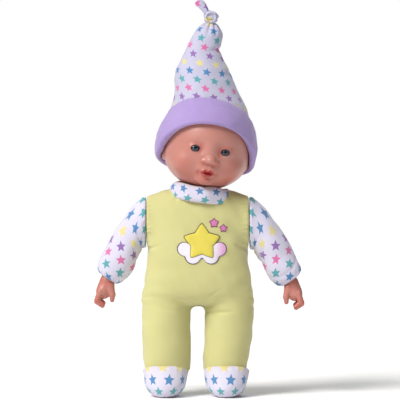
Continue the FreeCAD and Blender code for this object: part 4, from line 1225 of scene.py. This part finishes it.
# ---- cap, in the head's frame ----
CAP = [  # height, half width, half depth, sideways shift, shift back
    (8.0, 38.6, 36.0, 0.0, -3.0), (24.0, 45.2, 43.8, 0.0, 0.0), (36.0, 47.8, 48.8, -0.4, 1.2),
    (52.0, 47.9, 51.8, -1.0, 2.0), (63.0, 46.0, 50.4, -1.0, 2.0), (72.0, 43.2, 47.8, -0.7, 2.0),
    (82.0, 39.6, 43.4, -1.9, 2.2), (92.0, 36.4, 38.8, -3.4, 3.0), (104.0, 32.8, 33.6, -8.0, 4.5),
    (112.0, 31.0, 31.0, -10.6, 5.2), (118.0, 29.6, 28.8, -12.7, 6.0), (126.0, 26.0, 25.6, -14.4, 6.5),
    (134.0, 21.4, 21.6, -16.2, 7.0), (142.0, 18.0, 18.0, -16.5, 7.4), (149.0, 16.4, 16.0, -15.6, 7.6),
    (155.0, 15.0, 14.4, -14.4, 7.8), (160.0, 13.2, 12.6, -13.8, 8.0), (167.0, 8.0, 7.4, -13.6, 8.0),
    (169.5, 4.6, 4.4, -13.6, 8.0),
]
CUFF_LOW = [(-56.0, 75.0), (-44.0, 69.0), (-20.0, 50.0), (0.0, 36.0), (28.0, 26.0), (56.0, 19.0)]  # back, height
CUFF_HIGH = [(-56.0, 104.5), (-30.0, 92.5), (0.0, 77.3), (30.0, 67.3), (56.0, 61.5)]
CAP_COLUMNS = 192
BACK_PANEL_U = 400  # mm, keeps the back panel's print apart from the front's
CAP_ANGLE = turns(CAP_COLUMNS)


def cap_points(heights, swell=0.0):
    """Points of the cap's outside at one height per column."""
    half = smooth(CAP, heights)
    x = (half[:, 0] + swell) * np.sin(CAP_ANGLE) + half[:, 2]
    y = -(half[:, 1] + swell) * np.cos(CAP_ANGLE) + half[:, 3]
    return np.stack([x, y, heights], 1)


def edge_height(edge):
    """Height of an edge at each column, which depends on how far back the column stands there."""
    heights = np.full(CAP_COLUMNS, 60.0)
    for _ in range(12):
        back = cap_points(heights)[:, 1]
        heights = 0.5 * heights + 0.5 * smooth(edge, back)[:, 0]
    return heights


# Rows of the cuff from its inside edge: share of its height, of the way in to the head, distance outwards.
CUFF_ROWS = [
    (0.36, 0.90, 0.0), (0.18, 1.00, 0.0), (0.06, 1.00, 0.0), (0.00, 0.92, 0.0), (-0.03, 0.66, 0.0),
    (-0.035, 0.36, 0.0), (-0.015, 0.10, 0.1), (0.03, 0.00, 0.7),
]
CUFF_ROWS += [(share, 0.0, 0.9 + 0.5 * math.sin(share * math.pi)) for share in np.linspace(0.08, 0.9, 26)]
CUFF_ROWS += [(0.95, 0.0, 0.8), (0.98, 0.0, 0.35), (0.995, 0.0, -0.3), (0.99, 0.0, -1.2)]


def make_cuff():
    """A rolled band of doubled jersey: up inside against the head, round the lower edge, up the outside."""
    low, high = edge_height(CUFF_LOW), edge_height(CUFF_HIGH)
    rings = []
    for share, inward, outward in CUFF_ROWS:
        heights = low + (high - low) * share
        gap = np.clip(head_field(cap_points(heights)) - 0.7, 2.6, 8.0)
        rings.append(cap_points(heights, outward - inward * gap))
    rings = np.array(rings)
    outward = outward_from(rings, np.array([0, 2.0, 0]), level=True)
    share = np.array([r[0] for r in CUFF_ROWS])[:, None]
    shown = ramp(np.arange(len(CUFF_ROWS))[:, None], 5, 12)
    dents = lumps(rings, 44, 61) * 0.9 + lumps(rings, 15, 62) * 0.35
    wrinkle = bell(share - 0.55 - 0.2 * np.sin(CAP_ANGLE * 2 + 1), 0.05)
    wrinkle = wrinkle * ramp(np.sin(CAP_ANGLE * 3 + 0.5), 0.1, 0.9) * 0.35
    pucker = np.sin(CAP_ANGLE * 40 + 2 * np.sin(3 * CAP_ANGLE))[None] * bell(share - 1.0, 0.14) * 0.25
    rings = pushed(rings, outward, (dents + pucker - wrinkle) * shown)
    uv = round_uv(rings)
    cuff = tube("rolled_cuff", head_place(rings), uv, close=(False, False), material=cuff_cloth)
    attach(cuff, "cap")
    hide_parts("cap_cuff")


def crown_uv(rings):
    """Two sewn panels, front and back: u runs round from the middle of each, with the seams at the sides."""
    u = lengths_round(rings)
    back = slice(CAP_COLUMNS // 4, 3 * CAP_COLUMNS // 4)
    middle = u[:, CAP_COLUMNS // 2:CAP_COLUMNS // 2 + 1]
    panels = u.copy()
    panels[:, back.stop:] -= u[:, -1:]
    panels[:, back] = u[:, back] - middle + BACK_PANEL_U
    down = np.linalg.norm(np.diff(rings, axis=0), axis=2)
    v = np.concatenate([np.zeros((1, CAP_COLUMNS)), np.cumsum(down, 0)])
    v = v - v[-1:]
    return np.stack([panels, np.concatenate([v, v[:, :1]], 1)], -1)


def make_crown():
    start = edge_height(CUFF_HIGH) - 4.0
    top = CAP[-1][0]
    shares = np.linspace(0, 1, 150)
    rings = np.array([cap_points(start + (top - start) * s, -1.0) for s in shares])
    half = smooth(CAP, rings[..., 2])
    outward = outward_from(rings, np.stack([half[..., 2], half[..., 3], rings[..., 2]], -1))
    z = rings[..., 2]
    angle = CAP_ANGLE[None]
    gather = np.sin(angle * 10 + 0.8 * np.sin(2 * angle)) * ramp(z, 150, 167) * 0.9 * ramp(172 - z, 0, 6)
    tuck = bell(z - 138 - 6 * np.cos(angle - 1.4), 2.4) * ramp(np.cos(angle - 1.4), 0.1, 0.9) * 1.6
    swag = np.sin((z - 92) * 0.17 + 1.4 * np.sin(angle + 0.5)) * ramp(z, 96, 114) * ramp(156 - z, 0, 20) * 0.5
    sling = bell(z - 120 - 9 * np.sin(angle - 0.9), 2.6) * ramp(np.sin(angle - 0.2), 0.0, 0.8) * 0.9
    swell = lumps(rings, 34, 71) * 0.7 + lumps(rings, 12, 72) * 0.2
    swell = swell * ramp(z, 66, 90) + gather - tuck + swag - sling
    rings = pushed(rings, outward, swell)
    uv = crown_uv(rings)
    crown = tube("cap_cone", head_place(rings), uv, close=(False, True), material=cap_print)
    solid = crown.modifiers.new("thickness", "SOLIDIFY")
    solid.thickness = 1.0 * MM
    solid.offset = -1
    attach(crown, "cap")
    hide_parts("cap_crown")
    round_uv(rings)


KNOT_R = 7  # mm


def make_knot():
    """The tied end of the cap: a puckered ball of wound cloth."""
    low, high = in_mm(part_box("cap_knot"))
    centre, half = (low + high) / 2, (high - low) / 2

    def field(p):
        q = p - centre
        ball = ellipsoid(q, (0, 0, 0), half * 0.93)
        turn = np.arctan2(q[..., 1], q[..., 0])
        wind = np.sin(q[..., 2] * 1.15 + q[..., 0] * 0.55 + 1.2 * np.sin(turn * 2))
        loop = np.abs(np.hypot(q[..., 0], q[..., 2] + 0.8) - 4.6) + np.abs(q[..., 1] + 4.4) * 0.5 - 1.7
        return join(ball + 0.55 * wind, loop, 1.4)

    points, faces, normals = skin(field, low - 2, high + 2, KNOT_STEP)
    q = points - centre
    uv = wrapped_uv(faces, np.arctan2(q[:, 0], -q[:, 1]) * KNOT_R, q[:, 2] * 1.3, 2 * math.pi * KNOT_R)
    knot = add_mesh("tied_knot", points, faces, uv=uv, normals=normals, material=cap_print)
    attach(knot, "cap")
    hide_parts("cap_knot")


TAIL_COLUMNS = 56


def make_tail():
    """The free end past the knot, flattened, with both its ends closed."""
    low, high = in_mm(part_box("cap_tail"))
    start = np.array([high[0] - 1.0, (low[1] + high[1]) / 2, low[2] + 1.5])
    end = np.array([low[0] + 2.5, (low[1] + high[1]) / 2, high[2] - 1.8])
    along = (end - start) / np.linalg.norm(end - start)
    across = np.cross([0, 1, 0], along)
    rings = []
    shares = np.linspace(0, 1, 40)
    for share in shares:
        width = smooth([(0, 2.2), (0.3, 3.2), (0.7, 4.2), (1, 2.6)], share)[0]
        depth = smooth([(0, 2.2), (0.5, 2.0), (1, 1.3)], share)[0]
        centre = start + (end - start) * share + np.array([0, 0, 1.4 * math.sin(share * math.pi)])
        rings.append(ellipse_ring(centre, across, np.array([0, 1.0, 0]), width, depth, TAIL_COLUMNS))
    rings = np.array(rings)
    angle = turns(TAIL_COLUMNS)[None]
    outward = outward_from(rings, rings.mean(1, keepdims=True))
    pleat = np.sin(angle * 5 + shares[:, None] * 3) * 0.35
    rings = pushed(rings, outward, pleat)
    tail = tube("knot_tail", rings, round_uv(rings), material=cap_print)
    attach(tail, "cap")
    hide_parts("cap_tail")


make_cuff()
make_crown()
make_knot()
make_tail()


# ---- camera, light and floor ----
VIEW_WIDTH, VIEW_X, VIEW_Z = 0.3875, 0.0022, 0.1890  # what the picture spans, and its middle, in metres
LENS, SENSOR = 210, 36  # mm
WORLD_LIGHT = 0.17
FLOOR_REACH = 6000  # mm
SUNS = [  # name, azimuth, elevation, spread, strength, colour
    ("key", -46, 42, 26, 3.1, (1.0, 0.985, 0.96)),
    ("top", 10, 78, 40, 0.55, (0.97, 0.98, 1.0)),
    ("back", 170, 50, 30, 0.6, (1, 1, 1)),
]


def sun(name, azimuth, elevation, spread, strength, tint):
    """A soft, distant light. Azimuth is in degrees from straight in front, positive to the doll's left."""
    data = bpy.data.lights.new(name, "SUN")
    data.angle = math.radians(spread)
    data.energy = strength
    data.color = tint
    light = bpy.data.objects.new(name, data)
    az, el = math.radians(azimuth), math.radians(elevation)
    towards = Vector((math.sin(az) * math.cos(el), -math.cos(az) * math.cos(el), math.sin(el)))
    light.rotation_euler = towards.to_track_quat("Z", "Y").to_euler()
    bpy.context.scene.collection.objects.link(light)


def make_stage():
    camera_data = bpy.data.cameras.new("camera")
    camera = bpy.data.objects.new("camera", camera_data)
    bpy.context.scene.collection.objects.link(camera)
    bpy.context.scene.camera = camera
    camera_data.lens = LENS
    camera_data.sensor_width = SENSOR
    camera.location = (VIEW_X, -VIEW_WIDTH * LENS / SENSOR, VIEW_Z)
    camera.rotation_euler = (math.pi / 2, 0, 0)
    corners = [(x * FLOOR_REACH, y * FLOOR_REACH, 0) for x, y in ((-1, -1), (1, -1), (1, 1), (-1, 1))]
    floor = add_mesh("floor", corners, [(0, 1, 2, 3)])
    paper = Shader("pale_floor")
    white = paper.mix(paper.noise(3), (250, 250, 250), (254, 254, 254))
    floor.data.materials.append(paper.finish(white, 0.9))
    world = bpy.data.worlds.new("studio")
    bpy.context.scene.world = world
    world.use_nodes = True
    tree = world.node_tree
    seen = tree.nodes.new("ShaderNodeLightPath").outputs["Is Camera Ray"]
    strength = tree.nodes.new("ShaderNodeMapRange")
    tree.links.new(seen, strength.inputs[0])
    strength.inputs[3].default_value = WORLD_LIGHT
    strength.inputs[4].default_value = 1.0
    tree.links.new(strength.outputs[0], tree.nodes["Background"].inputs[1])
    tree.nodes["Background"].inputs[0].default_value = (1.0, 1.0, 1.0, 1)
    for row in SUNS:
        sun(*row)
    bpy.context.scene.view_settings.view_transform = "Standard"


make_stage()
